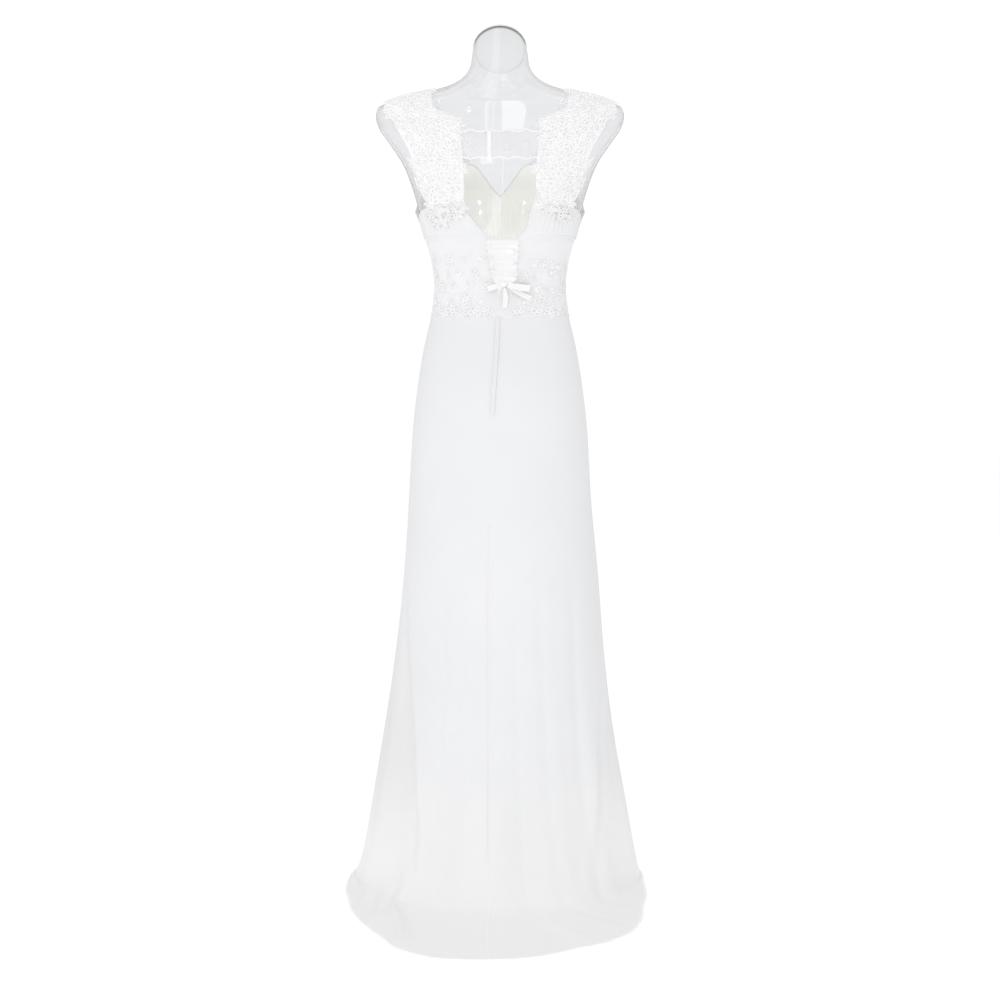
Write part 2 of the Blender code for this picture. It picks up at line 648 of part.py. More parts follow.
def pleated(phase):
    """0 in a pleat's valley and 1 on its ridge."""
    return 0.5 - 0.5 * np.cos(2 * math.pi * phase)


def gather_fade(up):
    """Gathers are flat at the foot's seam and fade again towards the top edge."""
    return np.where(up == 0, 0.0, np.sin(math.pi * np.clip(GATHER_FROM + GATHER_RUN * up, 0.0, 1.0)) ** 0.5)


def build_wings(collection):
    """Gathered pieces from the underarm to the keyhole's edge. Their pleats fan out from the lacing."""
    for name, side, column in (("back_wing_left", -1, "left_x"), ("back_wing_right", 1, "right_x")):
        across = np.linspace(0.0, 1.0, WING_STEPS)[None, :]
        up = np.linspace(0.0, 1.0, WING_LEVELS)[:, None]
        rise = TONGUE_RISE if side > 0 else 0.0
        edge_heights = MIDRIFF_TOP + (WING_TOP + rise - MIDRIFF_TOP) * up
        edge_x = column_at(KEYHOLE_ROWS, KEYHOLE_COLUMNS, column, edge_heights)
        edge_turns = np.abs(turn_of_x(edge_x, edge_heights))
        top = WING_TOP - (WING_TOP - UNDERARM) * eased((across - WING_TOP_ENDS) / (1 - WING_TOP_ENDS))
        top = top + rise * eased((TONGUE_SHARE - across) / TONGUE_SHARE)
        foot = MIDRIFF_TOP + SEAM / 2
        heights = foot + (top - SEAM / 2 - foot) * up
        turns = edge_turns + (SIDE_SEAM - edge_turns) * across
        phase = WING_PLEATS * (across + WING_PLEAT_SLANT * up)
        ends = np.sin(math.pi * across) ** WING_END_FADE
        out = CLOTH_OUT + PLEAT_DEPTH * gather_fade(up) * ends * pleated(phase)
        turns = side * (turns + 0 * heights)
        if side < 0:
            turns, heights, out = turns[:, ::-1], heights[:, ::-1], out[:, ::-1]
        grid = trimmed(off_form(turns, heights, out), SEAM)
        paint(cloth_panel(name, grid, CLOTH_WALL, collection), WHITE)


def build_cups(collection):
    """Gathered cups of the front, with a V between them. Their folds fan out from under the bust."""
    for name, side in (("bust_cup_left", -1), ("bust_cup_right", 1)):
        across = np.linspace(0.0, 1.0, CUP_STEPS)[None, :]
        up = np.linspace(0.0, 1.0, CUP_LEVELS)[:, None]
        from_front = CUP_SPLIT + (180.0 - SIDE_SEAM - CUP_SPLIT) * across
        top = column_at(CUP_ROWS, CUP_COLUMNS, "top", from_front) - SEAM / 2
        foot = MIDRIFF_TOP + SEAM / 2
        heights = foot + (top - foot) * up
        phase = CUP_GATHERS * across
        proud = CUP_SIDE_PROUD * eased((across - CUP_PROUD_FROM) / (1 - CUP_PROUD_FROM)) * up**2
        out = CLOTH_OUT + GATHER_DEPTH * gather_fade(up) * pleated(phase) + proud
        turns = 180.0 - side * (from_front + 0 * heights)
        if side > 0:
            turns, heights, out = turns[:, ::-1], heights[:, ::-1], out[:, ::-1]
        grid = trimmed(off_form(turns, heights, out), SEAM)
        paint(cloth_panel(name, grid, CLOTH_WALL, collection), WHITE)


def form_level(points):
    """Under 1 inside the form, 1 on its surface and over 1 outside it, below the neck."""
    height = points[..., 2]
    middle = column_at(FORM_ROWS, FORM_COLUMNS, "middle_y", height)
    x, y = points[..., 0], points[..., 1] - middle
    turn = np.degrees(np.arctan2(x, -y))
    return np.hypot(x, y) / form_reach(turn, height)


def on_form(origins, directions):
    """Where rays from inside the form leave it."""
    low = np.zeros(origins.shape[:-1])
    high = np.full(origins.shape[:-1], 0.30)
    for _ in range(36):
        middle = (low + high) / 2
        inside = form_level(origins + directions * middle[..., None]) < 1
        low = np.where(inside, middle, low)
        high = np.where(inside, high, middle)
    return origins + directions * low[..., None]


def form_normals(points):
    step = 0.0002
    slopes = []
    for axis in range(3):
        shift = np.zeros(3)
        shift[axis] = step
        slopes.append(form_level(points + shift) - form_level(points - shift))
    return unit(np.stack(slopes, axis=-1))


def strap_column(name, share):
    return column_at(STRAP_ROWS, STRAP_COLUMNS, name, share)


def strap_pivots(x):
    lift = PIVOT_HEIGHT + PIVOT_RISE * eased((x - PIVOT_RISE_FROM) / PIVOT_RISE_RUN)
    return np.stack([x, np.full(x.shape, PIVOT_Y), lift], axis=-1)


def end_angle(x, height, facing):
    """The angle from straight up, towards the back, at which the ray for x meets this height."""
    pivot = strap_pivots(x)
    low = np.zeros(x.shape)
    high = np.full(x.shape, 170.0)
    for _ in range(30):
        middle = (low + high) / 2
        turned = np.radians(middle)
        directions = np.stack([np.zeros(x.shape), -facing * np.sin(turned), np.cos(turned)], axis=-1)
        above = on_form(pivot, directions)[..., 2] > height
        low = np.where(above, middle, low)
        high = np.where(above, high, middle)
    return facing * (low + high) / 2


def strap_points(across, share, spread):
    """The strap's flat pattern laid over the right shoulder. Across is -1 at the neck and 1 at the arm."""
    x = strap_column("centre_x", share) + across * strap_column("half_width", share)
    back_x = strap_column("centre_x", 0.0) + across * strap_column("half_width", 0.0)
    front_x = strap_column("centre_x", 1.0) + across * strap_column("half_width", 1.0)
    back = end_angle(back_x, WING_TOP + SEAM / 2, 1.0)
    front = end_angle(front_x, NECK_JOIN + SEAM / 2, -1.0)
    angle = np.radians(back + (front - back) * np.interp(share, spread[0], spread[1]))
    directions = np.stack([np.zeros(x.shape), -np.sin(angle), np.cos(angle)], axis=-1)
    laid = on_form(strap_pivots(x), directions)
    return laid + form_normals(laid) * strap_column("out", share)[..., None]


def strap_spread():
    """How the angle has to grow for the pattern's levels to be evenly spaced along the strap's middle."""
    even = np.linspace(0.0, 1.0, 121)
    spread = (even, even)
    for _ in range(6):
        laid = strap_points(np.zeros(even.shape), even, spread)
        run = np.concatenate([[0.0], np.cumsum(np.linalg.norm(np.diff(laid, axis=0), axis=1))])
        angles = np.interp(even, spread[0], spread[1])
        spread = (even, np.interp(even, run / run[-1], angles))
    return spread


def lace_pattern(left_out=None):
    """Six-sided cells like a lace's motifs, each with a gap, as flat points and faces."""
    points = []
    index_of = {}
    faces = []

    def corner(across, level):
        key = (round(across * 1000), round(level * 1000))
        if key not in index_of:
            index_of[key] = len(points)
            swing = LACE_JITTER * math.sin(SWING_WAVES[0] * across + SWING_WAVES[1] * level)
            sway = LACE_JITTER * math.cos(SWAY_WAVES[0] * across - SWAY_WAVES[1] * level)
            inner = 0.0 if level <= 0.01 or level >= STRAP_LEVELS - 0.01 else 1.0
            points.append((across + swing * SWING_PART, level + sway * inner * SWAY_PART))
        return index_of[key]

    width = 2.0 / STRAP_CELLS
    for row in range(STRAP_LEVELS):
        cells = STRAP_CELLS - row % 2
        for cell in range(cells):
            if (row, cell) == left_out:
                continue
            across = (cell - (cells - 1) / 2) * width
            level = row + 0.5
            ring = []
            for side, lift in ((-1, -1), (0, -2), (1, -1), (1, 1), (0, 2), (-1, 1)):
                at = level + lift / 3.0
                at = 0.0 if row == 0 and lift < 0 else at
                at = float(STRAP_LEVELS) if row == STRAP_LEVELS - 1 and lift > 0 else at
                ring.append(corner(across + side * width / 2, at))
            places = np.array([points[index] for index in ring])
            centre = places.mean(axis=0)
            share = GAP_SHARE + GAP_SHARE_SWING * math.sin(GAP_WAVES[0] * row + GAP_WAVES[1] * cell)
            first = len(points)
            for place in places:
                points.append(tuple(centre + (place - centre) * share))
            for index in range(6):
                following = (index + 1) % 6
                faces.append((ring[index], ring[following], first + following, first + index))
    return np.array(points), faces


def build_straps(collection):
    spread = strap_spread()
    for name, side, left_out in (("lace_strap_right", 1, RIGHT_NOTCH), ("lace_strap_left", -1, None)):
        pattern, faces = lace_pattern(left_out)
        share = np.clip(pattern[:, 1] / STRAP_LEVELS, 0.0, 1.0)
        placed = strap_points(pattern[:, 0], share, spread) * np.array([side, 1.0, 1.0])
        turned = faces if side > 0 else [tuple(reversed(face)) for face in faces]
        paint(thicken(new_object(name, placed, turned, collection), LACE_WALL), LACE_WHITE)


def back_points(x, height, out):
    return off_form(turn_of_x(x, height), height, out)


def build_yoke(collection):
    """The sheer net across the shoulder blades, with wavy edges, and the strip that closes it."""
    sides = (
        ("back_yoke_left", YOKE_LEFT_X, YOKE_SPLIT_X - SEAM / 2),
        ("back_yoke_right", YOKE_SPLIT_X + SEAM / 2, YOKE_RIGHT_X),
    )
    for name, start, end in sides:
        x = np.linspace(start, end, round((end - start) / YOKE_STEP) + 1)[None, :]
        up = np.linspace(0.0, 1.0, 3)[:, None]
        wave = YOKE_SCALLOP * np.abs(np.sin(math.pi * (x - YOKE_SPLIT_X) / YOKE_SCALLOP_WIDTH))
        foot = YOKE_BOTTOM + wave - 0.5 * YOKE_SCALLOP
        top = YOKE_TOP - wave + 0.5 * YOKE_SCALLOP
        heights = foot + (top - foot) * up
        grid = back_points(x + 0 * heights, heights, YOKE_OUT)
        paint(cloth_panel(name, grid, NET_WALL, collection), WHITE)
    x = YOKE_SPLIT_X + np.array([-0.5, 0.0, 0.5])[None, :] * CLOSURE_WIDTH
    heights = np.linspace(YOKE_BOTTOM - CLOSURE_DROP, YOKE_TOP - CLOSURE_UNDER, 4)[:, None]
    grid = back_points(x + 0 * heights, heights + 0 * x, YOKE_OUT + NET_WALL + LAYER)
    paint(cloth_panel("yoke_closure", grid, NET_WALL, collection), LACE_WHITE)


def gap_edge(name, height):
    return column_at(GAP_ROWS, GAP_COLUMNS, name, height)


def build_loops(collection):
    """Loops of fine cord along both edges of the gap, which the ribbon is drawn through."""
    out = CLOTH_OUT + CLOTH_WALL + LAYER + LACE_WALL + LOOP_CLEAR + LOOP_CORD_RADIUS
    spacing = (LACING_TOP - LACING_BOTTOM) / LOOPS
    for name, column, inward in (("loop_cord_left", "left_x", 1), ("loop_cord_right", "right_x", -1)):
        path = []
        for loop in range(LOOPS):
            for part, reach in LOOP_ROWS:
                height = LACING_BOTTOM + (loop + part) * spacing
                path.append((gap_edge(column, height) + inward * reach, height))
        path.append((gap_edge(column, LACING_TOP) - inward * LOOP_OUTSIDE, LACING_TOP))
        places = back_points(np.array([x for x, _ in path]), np.array([z for _, z in path]), out)
        curve = bpy.data.curves.new(name, "CURVE")
        curve.dimensions = "3D"
        curve.bevel_depth = LOOP_CORD_RADIUS
        curve.bevel_resolution = 0
        curve.use_fill_caps = True
        spline = curve.splines.new("POLY")
        spline.points.add(len(places) - 1)
        for point, place in zip(spline.points, places):
            point.co = (*place, 1.0)
        cord = bpy.data.objects.new(name, curve)
        collection.objects.link(cord)
        paint(cord, WHITE, 0.5)


def build_ribbon(collection):
    """The ribbon's zigzag from side to side, up the gap and under the loops."""
    spacing = (LACING_TOP - LACING_BOTTOM) / RIBBON_RUNGS
    inset = RIBBON_WIDTH / 2 + RIBBON_INSET
    path = []
    for rung in range(RIBBON_RUNGS):
        height = LACING_BOTTOM + (rung + 0.5) * spacing
        ends = [gap_edge("left_x", height) + inset, gap_edge("right_x", height) - inset]
        start, end = ends if rung % 2 == 0 else reversed(ends)
        heading = math.copysign(1.0, end - start)
        for share, past, lift in RIBBON_ROWS:
            path.append((start + (end - start) * share + heading * past, height + lift * spacing))
    path = np.array(path)
    headings = np.gradient(path, axis=0)
    headings /= np.linalg.norm(headings, axis=1, keepdims=True)
    to_side = np.stack([headings[:, 1], -headings[:, 0]], axis=1) * RIBBON_WIDTH / 2
    sides = [back_points(edge[:, 0], edge[:, 1], RIBBON_OUT) for edge in (path + to_side, path - to_side)]
    ribbon = cloth_panel("lacing_ribbon", np.stack(sides, axis=1), RIBBON_WALL, collection)
    paint(ribbon, WHITE, 0.4)


def build_bow(collection):
    out = CLOTH_OUT + CLOTH_WALL + 2 * LAYER + LACE_WALL
    seat = back_points(np.array([KNOT_AT[0]]), np.array([KNOT_AT[1]]), out + KNOT_RADII[1] - KNOT_SINK)[0]
    bpy.ops.mesh.primitive_uv_sphere_add(segments=12, ring_count=8, radius=1.0)
    knot = primitive("bow_knot", collection)
    knot.data.transform(Matrix.Diagonal((*KNOT_RADII, 1.0)))
    knot.data.transform(Matrix.Translation(Vector(seat)))
    paint(knot, WHITE, 0.4)
    for name, direction, length, width, is_loop in BOW_ROWS:
        heading = np.array([math.cos(math.radians(direction)), math.sin(math.radians(direction))])
        sideways = np.array([-heading[1], heading[0]])
        start = KNOT_RADII[0] + BOW_START
        rows = []
        for part, lift, spread in BOW_LOOP_ROWS if is_loop else BOW_TAIL_ROWS:
            middle = np.array(KNOT_AT) + heading * (start + length * part)
            ends = [middle - sideways * width / 2 * spread, middle + sideways * width / 2 * spread]
            rows.append([(*end, out + lift) for end in ends])
        flat = np.array(rows)
        grid = back_points(flat[..., 0], flat[..., 1], flat[..., 2])
        paint(cloth_panel(name, grid[:, ::-1], BOW_WALL, collection), WHITE, 0.4)


def along_column(column, heights):
    """Points on a column of a grid, at these heights."""
    return np.stack([np.interp(heights, column[:, 2], column[:, axis]) for axis in range(3)], axis=-1)


def build_placket(collection):
    """The strip over the zip, laid on the two back panels and moved out from them."""
    step = 360.0 / SKIRT_STEPS
    panels = skirt_grid(np.array([-step, 0.0, step]))[len(TRAIN_SHARES):]
    left, seam, right = (along_column(panels[:, column], PLACKET_HEIGHTS) for column in range(3))
    normals = grid_normals(np.stack([left, seam, right], axis=1))[:, 1]
    away = seam + normals * (CLOTH_WALL + LAYER + SEAM / 2)
    rows = [away + unit(left - seam) * PLACKET_HALF, away, away + unit(right - seam) * PLACKET_HALF]
    paint(cloth_panel("zip_placket", np.stack(rows, axis=1), PLACKET_WALL, collection), WHITE)


clear_scene()
dress = bpy.data.collections.new("wedding_dress")
bpy.context.scene.collection.children.link(dress)
build_form(dress)
build_neck_cap(dress)
build_stand(dress)
build_skirt(dress)
build_midriff(dress)
build_overlay(dress)
build_wings(dress)
build_cups(dress)
build_straps(dress)
build_yoke(dress)
build_loops(dress)
build_ribbon(dress)
build_bow(dress)
build_placket(dress)
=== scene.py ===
import math

import bpy
import numpy as np
from mathutils import Matrix, Vector


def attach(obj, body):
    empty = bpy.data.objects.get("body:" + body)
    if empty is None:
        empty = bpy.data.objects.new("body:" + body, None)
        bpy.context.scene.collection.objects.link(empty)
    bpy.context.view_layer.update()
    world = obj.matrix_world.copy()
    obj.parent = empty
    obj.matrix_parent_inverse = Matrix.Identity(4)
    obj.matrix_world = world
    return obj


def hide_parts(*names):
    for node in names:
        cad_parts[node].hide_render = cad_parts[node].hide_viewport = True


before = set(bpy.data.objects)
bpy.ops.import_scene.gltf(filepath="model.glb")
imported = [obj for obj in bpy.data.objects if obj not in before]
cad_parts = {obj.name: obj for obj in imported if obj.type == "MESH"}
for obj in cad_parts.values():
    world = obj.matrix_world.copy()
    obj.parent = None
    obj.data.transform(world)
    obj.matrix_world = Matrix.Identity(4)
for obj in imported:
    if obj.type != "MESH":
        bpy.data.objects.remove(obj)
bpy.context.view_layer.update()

print("frame loaded:", len(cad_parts), "solids")

# All sizes are in metres. The back, with the lacing, faces -Y.
# A turn is in degrees round the body: 0 centre back, 90 at +X, 180 centre front.
waist = 1.0285
midriffTop = 1.1165
wingTop = 1.1680
neckJoin = 1.2450
overlayFoot = 0.9970
seamGap = 0.0004
layerGap = 0.00035
clothOut = 0.0020
clothWall = 0.0012

# torso form: height, half width, middle y, back, front, squareness, lean
formColumns = ["height", "halfWidth", "middleY", "back", "front", "squareness", "lean"]
formRows = np.array([
    (0.700, 0.1450, 0.000, 0.1050, 0.0980, 2.4, 0.0),
    (0.760, 0.1470, 0.000, 0.1160, 0.1020, 2.4, 0.0),
    (0.820, 0.1430, 0.000, 0.1200, 0.1050, 2.4, 0.0),
    (0.880, 0.1355, 0.000, 0.1100, 0.1060, 2.4, 0.0),
    (0.940, 0.1250, 0.000, 0.0900, 0.1040, 2.4, 0.0),
    (1.000, 0.1115, 0.000, 0.0740, 0.0960, 2.4, 0.0),
    (1.040, 0.1080, 0.000, 0.0680, 0.0900, 2.4, 0.0),
    (1.080, 0.1125, 0.000, 0.0720, 0.0900, 2.4, 0.0),
    (1.120, 0.1235, 0.000, 0.0800, 0.0940, 2.5, 0.0),
    (1.160, 0.1355, 0.000, 0.0900, 0.0960, 2.6, 0.0),
    (1.200, 0.1465, 0.000, 0.0980, 0.0950, 2.7, 0.0),
    (1.240, 0.1620, -0.003, 0.0985, 0.0900, 2.8, 0.0),
    (1.280, 0.1880, -0.010, 0.0910, 0.0820, 2.8, 0.0),
    (1.300, 0.2015, -0.014, 0.0810, 0.0760, 2.7, 0.0),
    (1.320, 0.2070, -0.016, 0.0690, 0.0680, 2.5, 0.0),
    (1.335, 0.2030, -0.016, 0.0580, 0.0590, 2.4, 0.0),
    (1.343, 0.1880, -0.016, 0.0530, 0.0540, 2.3, 0.0),
    (1.351, 0.1660, -0.017, 0.0505, 0.0515, 2.2, 0.0),
    (1.361, 0.1220, -0.017, 0.0490, 0.0500, 2.1, 0.0),
    (1.370, 0.0880, -0.018, 0.0480, 0.0490, 2.0, 0.0),
    (1.380, 0.0670, -0.018, 0.0475, 0.0485, 2.0, 0.04),
    (1.390, 0.0555, -0.018, 0.0475, 0.0480, 2.0, 0.14),
    (1.402, 0.0490, -0.018, 0.0475, 0.0480, 2.0, 0.30),
    (1.415, 0.0465, -0.018, 0.0475, 0.0480, 2.0, 0.52),
    (1.4285, 0.0450, -0.018, 0.0475, 0.0480, 2.0, 0.727),
])
bust = {"turn": 38.0, "spread": 19.0, "height": 1.165, "rise": 0.038, "swell": 0.17}


def smoothBetween(xs, ys, at):
    # a curve through values, or rows of values, that never swings past them
    at = np.clip(at, xs[0], xs[-1])
    deeper = (1,) * (ys.ndim - 1)
    secants = np.diff(ys, axis=0) / np.diff(xs).reshape(-1, *deeper)
    slopes = np.zeros_like(ys)
    slopes[0], slopes[-1] = secants[0], secants[-1]
    same = secants[:-1] * secants[1:] > 0
    total = np.where(same, secants[:-1] + secants[1:], 1.0)
    slopes[1:-1] = np.where(same, 2 * secants[:-1] * secants[1:] / total, 0.0)
    left = np.clip(np.searchsorted(xs, at, side="right") - 1, 0, len(xs) - 2)
    width = (xs[left + 1] - xs[left]).reshape(at.shape + deeper)
    part = (at - xs[left]).reshape(at.shape + deeper) / width
    return (
        ys[left] * (1 + 2 * part) * (1 - part) ** 2
        + slopes[left] * width * part * (1 - part) ** 2
        + ys[left + 1] * part**2 * (3 - 2 * part)
        - slopes[left + 1] * width * part**2 * (1 - part)
    )


def smoothRows(rows, at):
    # rows refined along a curve through them
    return smoothBetween(np.arange(len(rows)), rows, at)


def tableAt(rows, column, at):
    return smoothBetween(rows[:, 0], rows[:, column], np.asarray(at, float))


def formAt(name, height):
    return tableAt(formRows, formColumns.index(name), height)


def eased(part):
    part = np.clip(part, 0.0, 1.0)
    return part * part * (3 - 2 * part)


def bump(away, spread):
    return np.exp(-((away / spread) ** 2))


def ovalReach(turn, halfWidth, depth, squareness):
    turn = np.radians(turn)
    across = (np.abs(np.sin(turn)) / halfWidth) ** squareness
    through = (np.abs(np.cos(turn)) / depth) ** squareness
    return (across + through) ** (-1 / squareness)


def formReach(turn, height):
    depth = np.where(np.cos(np.radians(turn)) > 0, formAt("back", height), formAt("front", height))
    fromFront = np.abs(np.mod(turn, 360.0) - 180.0)
    lobe = bump(fromFront - bust["turn"], bust["spread"]) * bump(height - bust["height"], bust["rise"])
    reach = ovalReach(turn, formAt("halfWidth", height), depth, formAt("squareness", height))
    return reach * (1 + bust["swell"] * lobe)


def formPoints(turn, height):
    turn, height = np.broadcast_arrays(np.asarray(turn, float), np.asarray(height, float))
    middle = formAt("middleY", height)
    reach = formReach(turn, height)
    x = reach * np.sin(np.radians(turn))
    y = middle - reach * np.cos(np.radians(turn))
    return np.stack([x, y, height - formAt("lean", height) * (y - middle)], axis=-1)


def unit(vectors):
    return vectors / np.linalg.norm(vectors, axis=-1, keepdims=True)


def offForm(turn, height, out):
    # points at a distance out from the form
    turn, height = np.broadcast_arrays(np.asarray(turn, float), np.asarray(height, float))
    along = formPoints(turn + 0.5, height) - formPoints(turn - 0.5, height)
    up = formPoints(turn, height + 0.001) - formPoints(turn, height - 0.001)
    normals = unit(np.cross(along, up))
    return formPoints(turn, height) + normals * np.broadcast_to(out, turn.shape)[..., None]


def halved(shape, low, high, isBelow, steps):
    # the two values between which a test stops holding
    low, high = np.full(shape, low), np.full(shape, high)
    for step in range(steps):
        middle = (low + high) / 2
        below = isBelow(middle)
        low, high = np.where(below, middle, low), np.where(below, high, middle)
    return low, high


def turnOfX(x, height):
    # the turn at which the form's back has this x
    x, height = np.broadcast_arrays(np.asarray(x, float), np.asarray(height, float))

    def isShort(turn):
        return formPoints(turn, height)[..., 0] < x

    return sum(halved(x.shape, -89.0, 89.0, isShort, 30)) / 2


def backPoints(x, height, out):
    return offForm(turnOfX(x, height), height, out)


def gridNormals(grid):
    return unit(np.cross(np.gradient(grid, axis=1), np.gradient(grid, axis=0)))


def trimmed(grid, gap=seamGap):
    # first and last columns moved in by half a seam's gap
    grid = grid.copy()
    grid[:, 0] += unit(grid[:, 1] - grid[:, 0]) * gap / 2
    grid[:, -1] -= unit(grid[:, -1] - grid[:, -2]) * gap / 2
    return grid


def layOn(grid, column, row, lift):
    # places on a grid's surface, by fractional column and row, raised off it
    normals = gridNormals(grid)
    column = np.clip(column, 0, grid.shape[1] - 1.001)
    row = np.clip(row, 0, grid.shape[0] - 1.001)
    left, low = column.astype(int), row.astype(int)
    across, up = (column - left)[..., None], (row - low)[..., None]

    def blendOf(field):
        foot = field[low, left] * (1 - across) + field[low, left + 1] * across
        head = field[low + 1, left] * (1 - across) + field[low + 1, left + 1] * across
        return foot * (1 - up) + head * up

    lift = np.broadcast_to(lift, column.shape)[..., None]
    return blendOf(grid) + unit(blendOf(normals)) * lift


def deselectAll():
    bpy.ops.object.select_all(action="DESELECT")


def makeActive(piece):
    deselectAll()
    piece.select_set(True)
    bpy.context.view_layer.objects.active = piece


def applyModifiers(piece):
    makeActive(piece)
    for modifier in list(piece.modifiers):
        bpy.ops.object.modifier_apply(modifier=modifier.name)


def meshPiece(name, points, faces, material):
    mesh = bpy.data.meshes.new(name)
    mesh.from_pydata(points.tolist(), [], faces)
    mesh.materials.append(material)
    piece = bpy.data.objects.new(name, mesh)
    bpy.context.scene.collection.objects.link(piece)
    mesh.shade_smooth()
    return piece


def addWall(piece, thickness, offset=1.0):
    solidify = piece.modifiers.new("wall", "SOLIDIFY")
    solidify.thickness, solidify.offset = thickness, offset
    return solidify


def mapFlat(piece, places):
    # a UV map in the cloth's own metres, from a place for each vertex
    corners = [loop.vertex_index for loop in piece.data.loops]
    piece.data.uv_layers.new(name="cloth").data.foreach_set("uv", places[corners].ravel())


def onBody(piece, slot, *nodes):
    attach(piece, "root")
    if nodes:
        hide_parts(*nodes)


def fromPole(centres):
    return centres * [1, 1, 0] + [0.0, 0.01, 0.0]


def lineFaces(piece, material, outwards, limit, lowest=-1.0):
    # faces that turn away from the outward directions, in a material of their own
    piece.data.materials.append(material)
    polygons = piece.data.polygons
    centres, normals = np.zeros(3 * len(polygons)), np.zeros(3 * len(polygons))
    polygons.foreach_get("center", centres)
    polygons.foreach_get("normal", normals)
    centres = centres.reshape(-1, 3)
    facing = np.sum(normals.reshape(-1, 3) * outwards(centres), axis=1)
    polygons.foreach_set("material_index", ((facing < limit) & (centres[:, 2] > lowest)).astype(int))


def clothPiece(name, grid, wall, material, slot, *nodes, lining=None):
    # a thin shell on a grid
    rows, columns = grid.shape[:2]
    index = np.arange(rows * columns).reshape(rows, columns)
    quads = np.stack([index[:-1, :-1], index[:-1, 1:], index[1:, 1:], index[1:, :-1]], axis=-1).reshape(-1, 4)
    piece = meshPiece(name, grid.reshape(-1, 3), quads.tolist(), material)
    along = np.linalg.norm(np.diff(grid, axis=1), axis=2)
    up = np.linalg.norm(np.diff(grid, axis=0), axis=2)
    u = np.concatenate([np.zeros((rows, 1)), np.cumsum(along, axis=1)], axis=1)
    v = np.concatenate([np.zeros((1, columns)), np.cumsum(up, axis=0)], axis=0)
    mapFlat(piece, np.stack([u - u[:, columns // 2][:, None], v], axis=-1).reshape(-1, 2))
    addWall(piece, wall)
    applyModifiers(piece)
    for vertex in piece.data.vertices:
        vertex.co.z = max(vertex.co.z, 0.0)
    # the cut edge stays crisp, so that its shade doesn't run into the cloth's face
    bpy.ops.object.shade_smooth_by_angle(angle=math.radians(55))
    # the inner faces take the lining's finish, which glows with painted light
    if lining:
        lineFaces(piece, lining, fromPole, -0.01, lowest=0.03)
    onBody(piece, slot, *nodes)
    return piece


def cordPiece(name, paths, radius, material, slot, *nodes, sides=1):
    # fine cords along paths, all in one piece: each path is (points, closed)
    curve = bpy.data.curves.new(name, "CURVE")
    curve.dimensions = "3D"
    curve.bevel_depth = radius
    curve.bevel_resolution = sides
    curve.use_fill_caps = True
    for points, closed in paths:
        spline = curve.splines.new("POLY")
        spline.points.add(len(points) - 1)
        spline.points.foreach_set("co", np.concatenate([points, np.ones((len(points), 1))], axis=1).ravel())
        spline.use_cyclic_u = closed
    cord = bpy.data.objects.new(name, curve)
    bpy.context.scene.collection.objects.link(cord)
    makeActive(cord)
    bpy.ops.object.convert(target="MESH")
    cord = bpy.context.view_layer.objects.active
    cord.data.materials.clear()
    cord.data.materials.append(material)
    cord.data.shade_smooth()
    onBody(cord, slot, *nodes)


def feed(tree, made, inputs):
    # each input is linked from a node or a socket, or set to a value
    for label, source in inputs.items():
        if isinstance(source, bpy.types.Node):
            source = next(output for output in source.outputs if output.enabled)
        if isinstance(source, bpy.types.NodeSocket):
            tree.links.new(source, made.inputs[label])
        else:
            made.inputs[label].default_value = source


def node(tree, kind, *given, **named):
    # inputs in their order or by name; names that start small are the node's own options
    made = tree.nodes.new("ShaderNode" + kind)
    made.location = (220 * (len(tree.nodes) % 6) - 1500, 900 - 260 * (len(tree.nodes) // 6))
    for option in [label for label in named if label[0].islower()]:
        setattr(made, option, named.pop(option))
    feed(tree, made, {**dict(enumerate(given)), **named})
    return made


def blended(tree, factor, first, second, blend="MIX"):
    return node(tree, "Mix", Factor=factor, A=first, B=second, data_type="RGBA", blend_type=blend)


def ranged(tree, source, *limits, fade="LINEAR"):
    return node(tree, "MapRange", source, *limits, interpolation_type=fade)


def mathNode(tree, operation, *given):
    return node(tree, "Math", *given, operation=operation)


def groupOf(name, inputs, outputs):
    tree = bpy.data.node_groups.new(name, "ShaderNodeTree")
    for label, kind, value in inputs:
        socket = tree.interface.new_socket(name=label, in_out="INPUT", socket_type="NodeSocket" + kind)
        if value is not None:
            socket.default_value = value
    for label, kind in outputs:
        tree.interface.new_socket(name=label, in_out="OUTPUT", socket_type="NodeSocket" + kind)
    return tree, tree.nodes.new("NodeGroupInput").outputs, tree.nodes.new("NodeGroupOutput")


def wovenThreadsGroup():
    tree, given, result = groupOf(
        "wovenThreads",
        [("Vector", "Vector", None), ("Threads", "Float", 2000.0), ("Slub", "Float", 0.3)],
        [("Height", "Float"), ("Shade", "Float")],
    )
    scaled = node(tree, "VectorMath", given["Vector"], Scale=given["Threads"], operation="SCALE")
    apart = node(tree, "SeparateXYZ", scaled)
    turns = [mathNode(tree, "MULTIPLY", apart.outputs[axis], math.pi) for axis in "XY"]
    crossed = mathNode(tree, "MULTIPLY", *[mathNode(tree, "SINE", turn) for turn in turns])
    slub = node(tree, "TexNoise", given["Vector"], Scale=900.0, Detail=2.0)
    height = mathNode(tree, "ADD", crossed, mathNode(tree, "MULTIPLY", slub, given["Slub"]))
    # painted shade: the low parts of the weave are darker
    feed(tree, result, {"Height": height, "Shade": ranged(tree, height, -1.0, 1.3, 0.94, 1.0)})
    return tree


